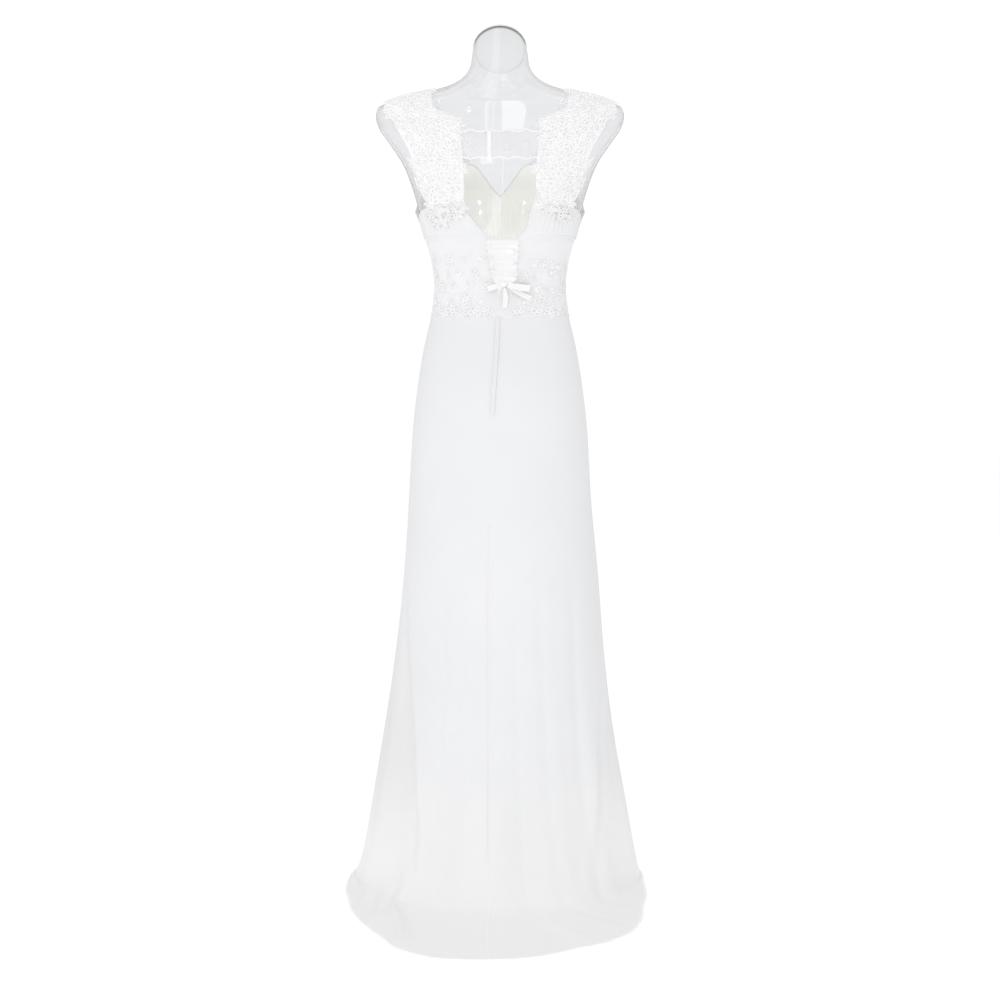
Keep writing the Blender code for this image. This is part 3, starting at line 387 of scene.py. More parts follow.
def softMottleGroup():
    # a slow change of colour over the cloth
    tree, given, result = groupOf(
        "softMottle",
        [("Vector", "Vector", None), ("Scale", "Float", 6.0),
         ("Light", "Color", (1, 1, 1, 1)), ("Shade", "Color", (0.8, 0.8, 0.8, 1))],
        [("Color", "Color")],
    )
    noise = node(tree, "TexNoise", given["Vector"], Scale=given["Scale"], Detail=3.0, Roughness=0.55)
    patches = ranged(tree, noise, 0.35, 0.65)
    feed(tree, result, {"Color": blended(tree, patches, given["Light"], given["Shade"])})
    return tree


def crinkleGroup():
    # fine uneven crepe, as a height
    tree, given, result = groupOf(
        "crepeCrinkle", [("Vector", "Vector", None), ("Scale", "Float", 400.0)], [("Height", "Float")],
    )
    noise = node(tree, "TexNoise", given["Vector"], Scale=given["Scale"], Detail=4.0, Roughness=0.6,
                 Distortion=0.4)
    feed(tree, result, {"Height": noise})
    return tree


wovenThreads = wovenThreadsGroup()
softMottle = softMottleGroup()
crepeCrinkle = crinkleGroup()


def startMaterial(name):
    material = bpy.data.materials.new(name)
    material.use_nodes = True
    tree = material.node_tree
    return material, tree, tree.nodes["Principled BSDF"], tree.nodes.new("ShaderNodeTexCoord").outputs


def grey(level, blue=1.0):
    return (level, level, level * blue, 1)


def mottled(tree, place, scale, light, shade):
    return node(tree, "Group", place, scale, light, shade, node_tree=softMottle)


def paintedLightAndShade(tree, place, colour, look):
    # painted light: the cloth is painted paler, unevenly, towards the floor, where shade falls; painted shade
    # darkens the skirt's flares at its sides, where the single layer turns from the light
    apart = node(tree, "SeparateXYZ", place).outputs
    patches = node(tree, "TexNoise", place, Scale=7.0, Detail=3.0)
    uneven = mathNode(tree, "ADD", apart["Z"], mathNode(tree, "MULTIPLY_ADD", patches, 0.16, -0.08))
    if "flarePaintedShade" in look:
        sideways = mathNode(tree, "ABSOLUTE", mathNode(tree, "ADD", apart["X"], -0.015))
        past = ranged(tree, sideways, 0.152, 0.174, fade="SMOOTHSTEP")
        below = ranged(tree, apart["Z"], 0.20, 0.62, 1.0, 0.0, fade="SMOOTHSTEP")
        colour = blended(tree, mathNode(tree, "MULTIPLY", past, below), colour, look["flarePaintedShade"])
    low = ranged(tree, uneven, 0.005, look["lowTop"], 1.0, 0.0, fade="SMOOTHSTEP")
    return blended(tree, low, colour, look["paintedFloorLight"])


# glow is painted light: the finish gives off light of its own
clothColumns = ("light", "shade", "mottle", "threads", "slub", "weaveDepth", "crinkle", "crinkleDepth",
                "roughness", "sheen", "specular", "glow")


def clothMaterial(name, row, extras):
    look = {**dict(zip(clothColumns, row)), **extras}
    light, shade = [(*look[tone], 1) for tone in ("light", "shade")]
    material, tree, shader, coords = startMaterial(name)
    place = coords["Object"]
    colour = mottled(tree, place, look["mottle"], light, shade)
    if "paintedFloorLight" in look:
        colour = paintedLightAndShade(tree, place, colour, look)
    weave = node(tree, "Group", coords["UV"], look["threads"], look["slub"], node_tree=wovenThreads).outputs
    crinkle = node(tree, "Group", place, look["crinkle"], node_tree=crepeCrinkle)
    fine = node(tree, "Bump", Strength=look["weaveDepth"], Distance=0.0002, Height=weave["Height"])
    soft = node(tree, "Bump", Strength=look["crinkleDepth"], Distance=0.0006, Height=crinkle, Normal=fine)
    feed(tree, shader, {
        "Base Color": blended(tree, 1.0, colour, weave["Shade"], blend="MULTIPLY"),
        "Normal": soft, "Roughness": look["roughness"], "Sheen Weight": look["sheen"], "Sheen Roughness": 0.5,
        "Specular IOR Level": look["specular"],
    })
    if look["glow"]:
        # painted light: the cloth glows, in place of light that comes through the layers behind
        feed(tree, shader, {"Emission Color": light, "Emission Strength": look["glow"]})
    if "mesh" in look:
        # a fine knotted mesh, open between its threads
        alpha, count, thin, thick = look["mesh"]
        cells = node(tree, "TexVoronoi", coords["UV"], Scale=count, feature="DISTANCE_TO_EDGE",
                     voronoi_dimensions="2D")
        feed(tree, shader, {"Alpha": ranged(tree, cells, thin, thick, 1.0, alpha)})
    return material


# a mesh is (how solid its holes are, cells a metre, thinnest and thickest distance from a thread)
clothRows = {
    "whiteChiffon": (((0.896, 0.900, 0.912), (0.871, 0.876, 0.889), 5.0, 2400.0, 0.5, 0.25, 420.0, 0.18,
                      0.8, 0.05, 0.15, 0.0),
                     # painted light towards the floor, and painted shade on the side flares
                     {"paintedFloorLight": (0.968, 0.968, 0.966, 1), "lowTop": 0.27,
                      "flarePaintedShade": (0.850, 0.851, 0.854, 1)}),
    # the seam fell lies over the chiffon, and is painted paler still towards the floor: painted light
    "seamChiffon": (((0.875, 0.878, 0.888), (0.85, 0.853, 0.865), 9.0, 2400.0, 0.5, 0.25, 420.0, 0.18,
                     0.8, 0.05, 0.15, 0.0), {"paintedFloorLight": grey(0.985), "lowTop": 0.14}),
    "bodiceChiffon": (((0.90, 0.902, 0.912), (0.87, 0.873, 0.887), 16.0, 2400.0, 0.5, 0.25, 500.0, 0.2,
                       0.78, 0.06, 0.15, 0.0), {}),
    "midriffChiffon": (((0.893, 0.896, 0.905), (0.868, 0.872, 0.883), 14.0, 2400.0, 0.5, 0.2, 450.0, 0.15,
                        0.78, 0.06, 0.15, 0.0), {}),
    "innerChiffon": (((0.94, 0.932, 0.932), (0.92, 0.912, 0.914), 9.0, 2400.0, 0.4, 0.2, 400.0, 0.15,
                      0.8, 0.05, 0.15, 0.38), {}),
    "hemChiffon": (((0.96, 0.96, 0.965), (0.94, 0.94, 0.95), 30.0, 2000.0, 0.6, 0.3, 500.0, 0.3,
                    0.75, 0.08, 0.15, 0.14), {}),
    "creamCupFoam": (((0.95, 0.945, 0.89), (0.90, 0.895, 0.81), 22.0, 1200.0, 0.6, 0.4, 300.0, 0.2,
                      0.85, 0.1, 0.2, 0.21), {}),
    "sheerNet": (((0.93, 0.93, 0.94), (0.88, 0.88, 0.90), 12.0, 1500.0, 0.4, 0.2, 300.0, 0.1,
                  0.7, 0.2, 0.2, 0.0), {"mesh": (0.14, 420.0, 0.06, 0.22)}),
    "overlayNet": (((0.97, 0.97, 0.98), (0.94, 0.94, 0.955), 12.0, 1500.0, 0.3, 0.0, 300.0, 0.0,
                    0.7, 0.0, 0.1, 0.12), {"mesh": (0.0, 520.0, 0.02, 0.10)}),
    "strapNet": (((0.97, 0.97, 0.98), (0.95, 0.95, 0.96), 30.0, 1500.0, 0.3, 0.0, 300.0, 0.0,
                  0.7, 0.1, 0.15, 0.06), {"mesh": (0.50, 900.0, 0.05, 0.26)}),
    "strapNetInsidePaintedLight": (((0.97, 0.97, 0.98), (0.95, 0.95, 0.96), 30.0, 1500.0, 0.3, 0.0, 300.0, 0.0,
                        0.7, 0.1, 0.15, 0.14), {"mesh": (0.30, 900.0, 0.05, 0.26)}),
    "laceCord": (((0.98, 0.98, 0.985), (0.95, 0.95, 0.96), 60.0, 900.0, 0.8, 0.0, 1400.0, 0.5,
                  0.6, 0.2, 0.3, 0.05), {}),
    "laceStitching": (((0.97, 0.97, 0.978), (0.93, 0.93, 0.94), 90.0, 1500.0, 0.6, 0.7, 900.0, 0.5,
                       0.65, 0.2, 0.3, 0.08), {}),
    "laceUndersidePaintedLight": (((0.95, 0.95, 0.955), (0.92, 0.92, 0.93), 90.0, 1500.0, 0.6, 0.5, 900.0, 0.4,
                       0.7, 0.1, 0.2, 0.50), {}),
    "overlayLace": (((0.97, 0.97, 0.978), (0.94, 0.94, 0.95), 90.0, 1500.0, 0.6, 0.5, 900.0, 0.4,
                     0.65, 0.2, 0.2, 0.11), {}),
    "satinRibbon": (((0.96, 0.955, 0.955), (0.935, 0.927, 0.929), 40.0, 1800.0, 0.3, 0.15, 250.0, 0.15,
                     0.50, 0.15, 0.3, 0.035), {}),
}
(chiffon, seamCloth, bodiceCloth, midriffCloth, innerChiffon, hemCloth, cupFoam, netCloth, overlayNet,
 strapNet, netInsidePaintedLight, laceCord, laceFill, laceUndersidePaintedLight, overlayLace, satin) = [
    clothMaterial(name, *row) for name, row in clothRows.items()]


def colourRamp(tree, factor, stops):
    ramp = node(tree, "ValToRGB", factor)
    elements = ramp.color_ramp.elements
    for index, (position, colour) in enumerate(stops):
        element = elements[index] if index < 2 else elements.new(position)
        element.position, element.color = position, colour
    return ramp


def clearPlasticMaterial():
    material, tree, shader, coords = startMaterial("clearPlastic")
    place = coords["Object"]
    # painted shade: the plastic's tint darkens towards its outline, where it turns from view
    facing = node(tree, "LayerWeight", 0.35).outputs["Facing"]
    stops = [(0.0, (0.965, 0.97, 0.98, 1)), (1.0, (0.10, 0.10, 0.11, 1))]
    stops += [(position, grey(level, 1.01)) for position, level in
              ((0.38, 0.95), (0.56, 0.88), (0.72, 0.70), (0.86, 0.36))]
    haze = node(tree, "TexNoise", place, Scale=35.0, Detail=3.0)
    ripple = node(tree, "TexNoise", place, Scale=18.0, Detail=1.0)
    # the room's light passes through to the cloth inside
    path = node(tree, "LightPath").outputs
    passing = mathNode(tree, "MAXIMUM", path["Is Shadow Ray"], path["Is Diffuse Ray"])
    feed(tree, shader, {
        "Base Color": colourRamp(tree, facing, stops), "Roughness": ranged(tree, haze, 0.0, 1.0, 0.01, 0.04),
        "Transmission Weight": 1.0, "IOR": 1.46, "Alpha": mathNode(tree, "SUBTRACT", 1.0, passing),
        "Normal": node(tree, "Bump", Strength=0.03, Distance=0.002, Height=ripple),
    })
    return material


def mouldLineMaterial():
    # painted highlight: the raised line where the two halves meet glows white, in place of the light it
    # catches
    material, tree, shader, coords = startMaterial("mouldLinePaintedHighlight")
    mottle = mottled(tree, coords["Object"], 60.0, (0.97, 0.97, 0.98, 1), (0.90, 0.90, 0.92, 1))
    feed(tree, shader, {"Base Color": mottle, "Roughness": 0.3, "Transmission Weight": 0.35,
                        "Emission Color": grey(1.0), "Emission Strength": 0.15})
    return material


def pearlMaterial():
    # cream over the top and down the edge; underneath, painted shade in the pale tone of the clear neck
    material, tree, shader, coords = startMaterial("pearlCap")
    place = coords["Object"]
    mottle = mottled(tree, place, 40.0, (0.86, 0.85, 0.80, 1), (0.76, 0.75, 0.68, 1))
    along = node(tree, "VectorMath", place, (0.0, 0.588, 0.809), operation="DOT_PRODUCT")
    # painted shade: under the cap the colour darkens towards its raised side, to a painted shadow line below
    # the rim
    centred = node(tree, "Mapping", place, Location=(0.0, 0.377, 0.0), Scale=(22.2, 20.9, 0.0))
    reach = node(tree, "VectorMath", centred, operation="LENGTH")
    side = node(tree, "SeparateXYZ", centred).outputs["Y"]
    stops = [(0.0, (0.78, 0.785, 0.79, 1)), (1.0, (0.92, 0.925, 0.93, 1))]
    under = colourRamp(tree, ranged(tree, side, -0.95, 0.95), stops)
    paintedShadowLine = mathNode(tree, "MULTIPLY", ranged(tree, reach, 0.88, 0.95), ranged(tree, side, 0.10, -0.40))
    paintedUnderShade = blended(tree, paintedShadowLine, under, grey(0.22))
    grain = node(tree, "Group", place, 600.0, node_tree=crepeCrinkle)
    feed(tree, shader, {
        "Base Color": blended(tree, ranged(tree, along, 1.1462, 1.1472), paintedUnderShade, mottle),
        "Roughness": 0.35, "Specular IOR Level": 0.2,
        "Normal": node(tree, "Bump", Strength=0.08, Distance=0.0003, Height=grain),
    })
    return material


def brushedSteelMaterial():
    material, tree, shader, coords = startMaterial("brushedSteel")
    stretched = node(tree, "Mapping", coords["Object"], Scale=(1.0, 1.0, 60.0))
    lines = node(tree, "TexNoise", stretched, Scale=40.0, Detail=4.0)
    feed(tree, shader, {
        "Base Color": mottled(tree, coords["Object"], 25.0, (0.66, 0.66, 0.67, 1), (0.55, 0.55, 0.57, 1)),
        "Metallic": 1.0, "Roughness": ranged(tree, lines, 0.0, 1.0, 0.22, 0.42),
        "Normal": node(tree, "Bump", Strength=0.1, Distance=0.0002, Height=lines),
    })
    return material


clearPlastic = clearPlasticMaterial()
mouldLinePaintedHighlight = mouldLineMaterial()
pearl = pearlMaterial()
brushedSteel = brushedSteelMaterial()
print("finishes made")

# the clear torso: a cylinder with no ends, cut into levels, and each corner set on the form
formShellSettings = {"sides": 120, "levels": 150, "wall": 0.0026, "crowding": 1.7}


def makeFormShell(settings):
    deselectAll()
    bpy.ops.mesh.primitive_cylinder_add(vertices=settings["sides"], radius=1.0, depth=1.0,
                                        end_fill_type="NOTHING")
    shell = bpy.context.active_object
    shell.name = "formShell"
    bpy.ops.object.mode_set(mode="EDIT")
    bpy.ops.mesh.select_all(action="DESELECT")
    bpy.ops.object.mode_set(mode="OBJECT")
    for edge in shell.data.edges:
        ends = [shell.data.vertices[index].co.z for index in edge.vertices]
        edge.select = abs(ends[0] - ends[1]) > 0.5
    bpy.ops.object.mode_set(mode="EDIT")
    bpy.ops.mesh.select_mode(type="EDGE")
    bpy.ops.mesh.subdivide(number_cuts=settings["levels"])
    bpy.ops.object.mode_set(mode="OBJECT")
    corners = np.array([vertex.co for vertex in shell.data.vertices])
    turns = np.degrees(np.arctan2(corners[:, 0], -corners[:, 1]))
    # the levels are closer together at the shoulders and neck
    part = corners[:, 2] + 0.5
    foot, head = formRows[0, 0], formRows[-1, 0]
    heights = foot + (head - foot) * (1 - (1 - part) ** settings["crowding"])
    for vertex, place in zip(shell.data.vertices, formPoints(turns, heights)):
        vertex.co = place
    # the glued rim under the cap takes the cap's finish, with its painted pale underside shade
    addWall(shell, settings["wall"], -1.0).material_offset_rim = 1
    shell.data.materials.append(clearPlastic)
    shell.data.materials.append(pearl)
    applyModifiers(shell)
    shell.data.shade_smooth()
    onBody(shell, "clear_plastic", "form_body")


makeFormShell(formShellSettings)

# the mould line down the back of the clear torso, plainest where it catches the light (foot, head, radius)
mouldSettings = {"x": 0.0045, "out": 0.0001, "points": 40}
mouldRows = ((1.02, 1.184, 0.00012), (1.185, 1.256, 0.00045), (1.257, 1.350, 0.00012))
for index, (foot, head, radius) in enumerate(mouldRows):
    heights = np.linspace(foot, head, mouldSettings["points"])
    line = backPoints(mouldSettings["x"], heights, mouldSettings["out"])
    cordPiece("formMouldLine" + str(index + 1), [(line, False)], radius, mouldLinePaintedHighlight, "clear_plastic")

for label, finish in (("stand_base", brushedSteel), ("stand_flange", brushedSteel),
                      ("stand_pole", brushedSteel), ("neck_cap", pearl)):
    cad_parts[label].data.materials.clear()
    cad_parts[label].data.materials.append(finish)
print("clear form and stand done")

# the skirt: how far its inner face reaches from the pole (height, left, right, back, front, squareness)
skirtRows = np.array([
    (0.000, 0.2460, 0.2400, 0.1950, 0.1760, 2.1),
    (0.015, 0.2440, 0.2380, 0.1760, 0.1750, 2.1),
    (0.055, 0.2320, 0.2300, 0.1600, 0.1720, 2.1),
    (0.150, 0.2145, 0.2130, 0.1480, 0.1610, 2.1),
    (0.280, 0.1935, 0.1900, 0.1410, 0.1460, 2.1),
    (0.410, 0.1770, 0.1755, 0.1370, 0.1320, 2.2),
    (0.550, 0.1630, 0.1660, 0.1330, 0.1200, 2.3),
    (0.680, 0.1545, 0.1545, 0.1290, 0.1120, 2.3),
    (0.790, 0.1480, 0.1480, 0.1250, 0.1085, 2.4),
])
skirtTopHeights = (0.865, 0.930, overlayFoot, waist - seamGap / 2)
trainShares = (1.0, 0.62, 0.26)
# where the hem lies on the floor (turn, reach)
hemRows = np.array([
    (-120, 0.246), (-100, 0.262), (-90, 0.265), (-67, 0.281), (-55, 0.302), (-48, 0.317),
    (-39, 0.339), (-31, 0.364), (-25, 0.392), (-20, 0.405), (-14, 0.416), (-3, 0.412),
    (6, 0.405), (13, 0.392), (19, 0.379), (27, 0.373), (31, 0.364), (36, 0.355),
    (44, 0.329), (61, 0.278), (90, 0.251), (101, 0.253), (120, 0.236), (140, 0.211),
    (160, 0.193), (180, 0.187), (200, 0.194), (220, 0.214), (240, 0.246),
])
# the largest folds (turn, spread, depth, height where it starts)
mainFolds = (
    (-64.0, 12.0, -0.015, 0.66), (-92.0, 12.0, 0.007, 0.70), (-40.0, 10.0, 0.006, 0.40),
    (-23.0, 8.0, -0.006, 0.34), (-5.0, 9.0, 0.004, 0.30), (14.0, 8.0, -0.004, 0.28),
    (30.0, 9.0, 0.005, 0.38), (50.0, 9.0, -0.004, 0.36), (71.0, 10.0, -0.012, 0.60),
    (94.0, 12.0, 0.006, 0.66), (116.0, 10.0, -0.008, 0.52), (134.0, 10.0, 0.009, 0.60),
    (153.0, 10.0, -0.010, 0.56), (173.0, 11.0, 0.010, 0.64), (194.0, 10.0, -0.009, 0.58),
    (213.0, 11.0, 0.009, 0.60), (234.0, 10.0, -0.009, 0.54), (252.0, 10.0, 0.005, 0.50),
)
# the centre back seam's lean (height, turn)
seamRows = np.array([
    (0.000, -5.3), (0.040, -6.5), (0.170, -8.0), (0.520, -8.8), (0.830, -6.0), (0.930, -3.6), (waist, -1.8),
])
# softer creases between them (turn at the foot, turn at the head, spread, depth, foot height, head height)
softCreases = (
    (-36.0, -88.0, 4.4, -0.0105, -0.06, 0.62), (-30.0, -82.0, 3.6, 0.0040, -0.06, 0.57),
    (50.0, 102.0, 4.0, -0.0085, -0.06, 0.44), (44.0, 96.0, 3.6, 0.0032, -0.06, 0.40),
    (-34.0, -30.0, 3.0, -0.0022, -0.10, 0.58), (-29.0, -24.0, 4.5, 0.0020, -0.30, 0.72),
    (-18.0, -15.0, 2.6, -0.0018, 0.02, 0.66), (-12.0, -10.0, 3.4, 0.0014, 0.05, 0.44),
    (3.0, 4.0, 3.0, -0.0016, 0.08, 0.80), (9.0, 9.0, 4.0, 0.0018, -0.20, 0.52),
    (21.0, 18.0, 2.8, -0.0022, -0.30, 0.60), (26.0, 24.0, 4.2, 0.0018, 0.04, 0.36),
    (38.0, 33.0, 3.2, -0.0026, -0.35, 0.70), (45.0, 40.0, 3.6, 0.0020, -0.20, 0.46),
    (58.0, 52.0, 3.4, -0.0042, -0.40, 0.66), (64.0, 60.0, 4.4, 0.0028, 0.00, 0.40),
    (80.0, 80.0, 4.0, -0.0024, -0.10, 0.56), (88.0, 87.0, 5.0, 0.0020, 0.10, 0.70),
    (102.0, 104.0, 3.6, -0.0030, -0.30, 0.48), (109.0, 110.0, 4.8, 0.0024, -0.10, 0.62),
    (124.0, 126.0, 3.4, -0.0034, -0.40, 0.54), (130.0, 133.0, 4.2, 0.0022, 0.08, 0.42),
    (143.0, 146.0, 3.8, -0.0026, -0.30, 0.66), (160.0, 161.0, 3.2, 0.0026, -0.20, 0.50),
    (166.0, 168.0, 4.0, -0.0022, 0.03, 0.60), (180.0, 181.0, 3.6, -0.0030, -0.40, 0.74),
    (187.0, 186.0, 4.4, 0.0022, -0.10, 0.46), (203.0, 200.0, 3.2, -0.0028, -0.30, 0.62),
    (208.0, 206.0, 4.6, 0.0020, 0.06, 0.38), (222.0, 219.0, 3.8, -0.0032, -0.40, 0.56),
    (228.0, 226.0, 4.0, 0.0024, 0.00, 0.68), (243.0, 240.0, 3.4, -0.0026, -0.20, 0.44),
    (259.0, 258.0, 4.2, -0.0024, -0.30, 0.60), (264.0, 265.0, 3.6, 0.0026, 0.02, 0.50),
    (275.0, 276.0, 3.8, -0.0030, -0.20, 0.54), (283.0, 285.0, 4.4, 0.0022, -0.10, 0.42),
)
# folds that lie on the train (rise, half width, first share, last share, then turns at the wall, a third out,
# two thirds out and the hem)
trainFolds = (
    (0.0105, 0.0190, -0.30, 1.00, -47.0, -42.0, -29.0, -19.0),
    (0.0040, 0.0170, -0.20, 0.90, -62.0, -57.0, -45.0, -36.0),
    (0.0036, 0.0130, 0.05, 0.95, -76.0, -72.0, -64.0, -60.0),
    (0.0030, 0.0130, 0.10, 1.00, 20.0, 22.0, 25.0, 27.0),
    (0.0040, 0.0150, 0.00, 0.95, 36.0, 37.0, 39.0, 40.0),
    (0.0036, 0.0140, 0.05, 0.90, 58.0, 57.0, 55.0, 54.0),
    (0.0022, 0.0160, 0.25, 1.05, 6.0, 7.0, 9.0, 10.0),
)
skirtSettings = {"turnStep": 1.25, "hemCord": 0.0023, "bend": 0.005, "seamHalf": 0.0014, "seamWall": 0.0004,
                 "seamStraight": 0.57, "seamRows": 64, "steps": (7, 7, 5, 3, 5, 6, 8, 8, 8, 8, 7, 6, 6, 6, 4),
                 "trainLength": 0.39, "softening": 12, "ripple": 0.8, "rippleLift": 0.2, "hemOut": 0.0006,
                 "hemClear": 0.0001, "seamSunk": 0.0003, "seamCrown": 0.0004, "seamNarrowing": 0.45}


def turnAway(turn, centre):
    return np.mod(turn - centre + 180.0, 360.0) - 180.0


def foldRise(turn, height):
    rise = np.zeros(np.broadcast(turn, height).shape)
    for centre, spread, depth, start in mainFolds:
        rise = rise + depth * eased((start - height) / start) * bump(turnAway(turn, centre), spread)
    return rise


def seamShift(turn, height):
    return tableAt(seamRows, 1, height) * np.clip(np.cos(np.radians(turn)), 0.0, 1.0) ** 2


def skirtReach(turn, height):
    left, right, back, front, squareness = [tableAt(skirtRows, column, height) for column in range(1, 6)]
    halfWidth = np.where(np.sin(np.radians(turn)) > 0, right, left)
    depth = np.where(np.cos(np.radians(turn)) > 0, back, front)
    return ovalReach(turn, halfWidth, depth, squareness) + foldRise(turn, height)


def roundPole(turns, reach, heights):
    angle = np.radians(turns)
    return np.stack([reach * np.sin(angle), -reach * np.cos(angle), 0 * turns + heights], axis=-1)


def skirtLevels(turns):
    # the skirt's inner face, from the hem up to the waist
    levels = []
    for share in trainShares:
        footTurns = turns + seamShift(turns, 0.0) * (1 - skirtSettings["seamStraight"] * share)
        wallFoot = skirtReach(footTurns, 0.0)
        hem = tableAt(hemRows, 1, np.mod(footTurns - hemRows[0, 0], 360.0) + hemRows[0, 0])
        ripple = np.maximum(foldRise(turns, 0.0), 0.0) * skirtSettings["ripple"] * math.sin(math.pi * share)
        ripple = ripple + skirtSettings["bend"] * skirtSettings["rippleLift"] * (share < 0.3)
        levels.append(roundPole(footTurns, wallFoot + (hem - wallFoot) * share, ripple))
    for height in skirtRows[:, 0]:
        # the cloth turns softly from the wall to the floor
        placed = turns + seamShift(turns, height)
        levels.append(roundPole(placed, skirtReach(placed, height), max(height, skirtSettings["bend"])))
    for height in skirtTopHeights:
        levels.append(offForm(turns + seamShift(turns, height), 0 * turns + height, clothOut))
    return np.array(levels)


def fineSkirt(turns):
    floorLevels = len(trainShares)
    steps = skirtSettings["steps"]
    shares = [start + np.arange(count) / count for start, count in enumerate(steps)]
    at = np.concatenate(shares + [[len(steps)]])
    grid = smoothRows(skirtLevels(turns), at)
    normals = gridNormals(grid)
    # how far up the wall a row is, and how far out on the floor (below 0)
    onFloor = -(floorLevels - at) * skirtSettings["trainLength"] / floorLevels
    height = np.where(at >= floorLevels, grid[..., 2].mean(axis=1), onFloor)[:, None]
    shift = np.zeros(grid.shape[:2])
    for foot, head, spread, depth, low, high in softCreases:
        centre = foot + (head - foot) * np.clip((height + 0.1) / 0.8, 0, 1)
        along = eased((height - low) / 0.22) * eased((high - height) / (0.55 * (high - max(low, 0.0))))
        shift += depth * along * bump(turnAway(turns[None, :], centre), spread)
    # over the hips the creases fade out
    hips = eased((height - 0.70) / 0.15)
    shift = shift * (1 - hips) + np.maximum(shift, -0.0004) * hips
    share = -height / skirtSettings["trainLength"]
    lying = np.zeros(grid.shape[:2])
    for rise, spread, first, last, *places in trainFolds:
        centre = np.interp(share, [0.0, 0.33, 0.67, 1.0], places)
        aside = np.radians(turnAway(turns[None, :], centre)) * (0.20 + 0.20 * share)
        lying += rise * eased((share - first) / 0.2) * eased((last - share) / 0.25) * bump(aside, spread)
    # these rise on a softer direction, so that they pass smoothly from the wall to the floor
    softened = normals.copy()
    for step in range(skirtSettings["softening"]):
        softened[1:-1] = (softened[:-2] + 2 * softened[1:-1] + softened[2:]) / 4
    grid = grid + normals * shift[..., None] + unit(softened) * lying[..., None]
    grid[..., 2] = np.maximum(grid[..., 2], 0.0)
    grid[0, :, 2] = 0.0
    return grid


def makeSkirt(settings):
    step = settings["turnStep"]
    spans = (("skirtBackRight", 0.0, 90.0, "skirt_back_right"), ("skirtFront", 90.0, 270.0, "skirt_front"),
             ("skirtBackLeft", -90.0, 0.0, "skirt_back_left"))
    for name, start, end, solid in spans:
        grid = fineSkirt(start + np.arange(round((end - start) / step) + 1) * step)
        clothPiece(name, grid, clothWall, chiffon, "chiffon", solid, lining=innerChiffon)
        # the narrow rolled hem
        edge = grid[0] + unit(grid[0] - grid[1]) * settings["hemOut"]
        edge[:, 2] = settings["hemCord"] + settings["hemClear"]
        # the hem's finish glows: painted light
        cordPiece(name + "Hem", [(edge, False)], settings["hemCord"], hemCloth, "chiffon")


def makeCentreSeam(settings):
    # the centre back seam's fell, pressed flat, widest on the train
    step = settings["turnStep"]
    panels = fineSkirt(np.array([-step, 0.0, step]))[:settings["seamRows"]]
    normals = gridNormals(panels)[:, 1]
    toRight = unit(panels[:, 2] - panels[:, 0])
    half = settings["seamHalf"] * (1 - settings["seamNarrowing"] * eased((panels[:, 1, 2] - 0.02) / 0.25))
    columns = []
    for part in np.linspace(-1.0, 1.0, 7):
        lift = clothWall - settings["seamSunk"] + settings["seamCrown"] * (1 - part**2)
        columns.append(panels[:, 1] + normals * lift + toRight * (half * part)[:, None])
    clothPiece("skirtCentreSeam", np.stack(columns, axis=1), settings["seamWall"], seamCloth, "chiffon")


makeSkirt(skirtSettings)
makeCentreSeam(skirtSettings)
print("skirt done")

# the lacing gap (height, left x, right x)
gapRows = np.array([
    (waist, -0.0030, -0.0026), (1.040, -0.0034, 0.0060), (1.050, -0.0110, 0.0255),
    (1.075, -0.0160, 0.0275), (midriffTop, -0.0215, 0.0292),
])


def edgeTurns(side, heights, columns):
    # evenly spaced columns from the lacing edge to the side seam
    edge = side * turnOfX(tableAt(gapRows, 2 if side > 0 else 1, heights), heights)
    part = np.linspace(0.0, 1.0, columns)[None, :]
    return side * (edge[:, None] + (90.0 - edge[:, None]) * part)


def bandTurns(side, heights, columns):
    # the turns of a back half, or of the front with twice the columns
    if side == 0:
        return np.tile(np.linspace(90.0, 270.0, 2 * columns), (len(heights), 1))
    return edgeTurns(side, heights, columns)[:, ::side]


midriffSettings = {"columns": 70, "rows": 26}
midriffLevels = np.linspace(waist + seamGap / 2, midriffTop - seamGap / 2, midriffSettings["rows"])
for name, side, solid in (("midriffBackLeft", -1, "midriff_back_left"),
                          ("midriffBackRight", 1, "midriff_back_right"),
                          ("midriffFront", 0, "midriff_front")):
    turns = bandTurns(side, midriffLevels, midriffSettings["columns"])
    grid = trimmed(offForm(turns, midriffLevels[:, None], clothOut))
    clothPiece(name, grid, clothWall, midriffCloth, "chiffon", solid, lining=innerChiffon)
print("midriff done")


# lace motifs, drawn flat in metres: cords and veins are (points, closed), plates are (outline, open share)
def newLace():
    return {"cords": [], "plates": [], "veins": []}


def turned(centre, x, y, angle):
    c, s = math.cos(angle), math.sin(angle)
    return np.stack([centre[0] + x * c - y * s, centre[1] + x * s + y * c], axis=1)


def ovalLoop(centre, length, width, angle, steps, point):
    t = np.linspace(0, 2 * math.pi, steps, endpoint=False)
    return turned(centre, length / 2 * np.cos(t), width / 2 * np.sin(t) * (1 - point * np.cos(t)), angle)


def addPetal(lace, middle, shape, heading, shares, vein, chance):
    loop = ovalLoop(middle, *shape[:2], heading, *shape[2:])
    lace["cords"].append((loop, True))
    lace["plates"].append((loop, chance.choice(shares)))
    length, bend = vein
    t = np.linspace(-0.42, 0.42, 5)
    bow = chance.uniform(-bend, bend)
    lace["veins"].append((turned(middle, length * t, bow * (0.25 - t**2) * length, heading), False))


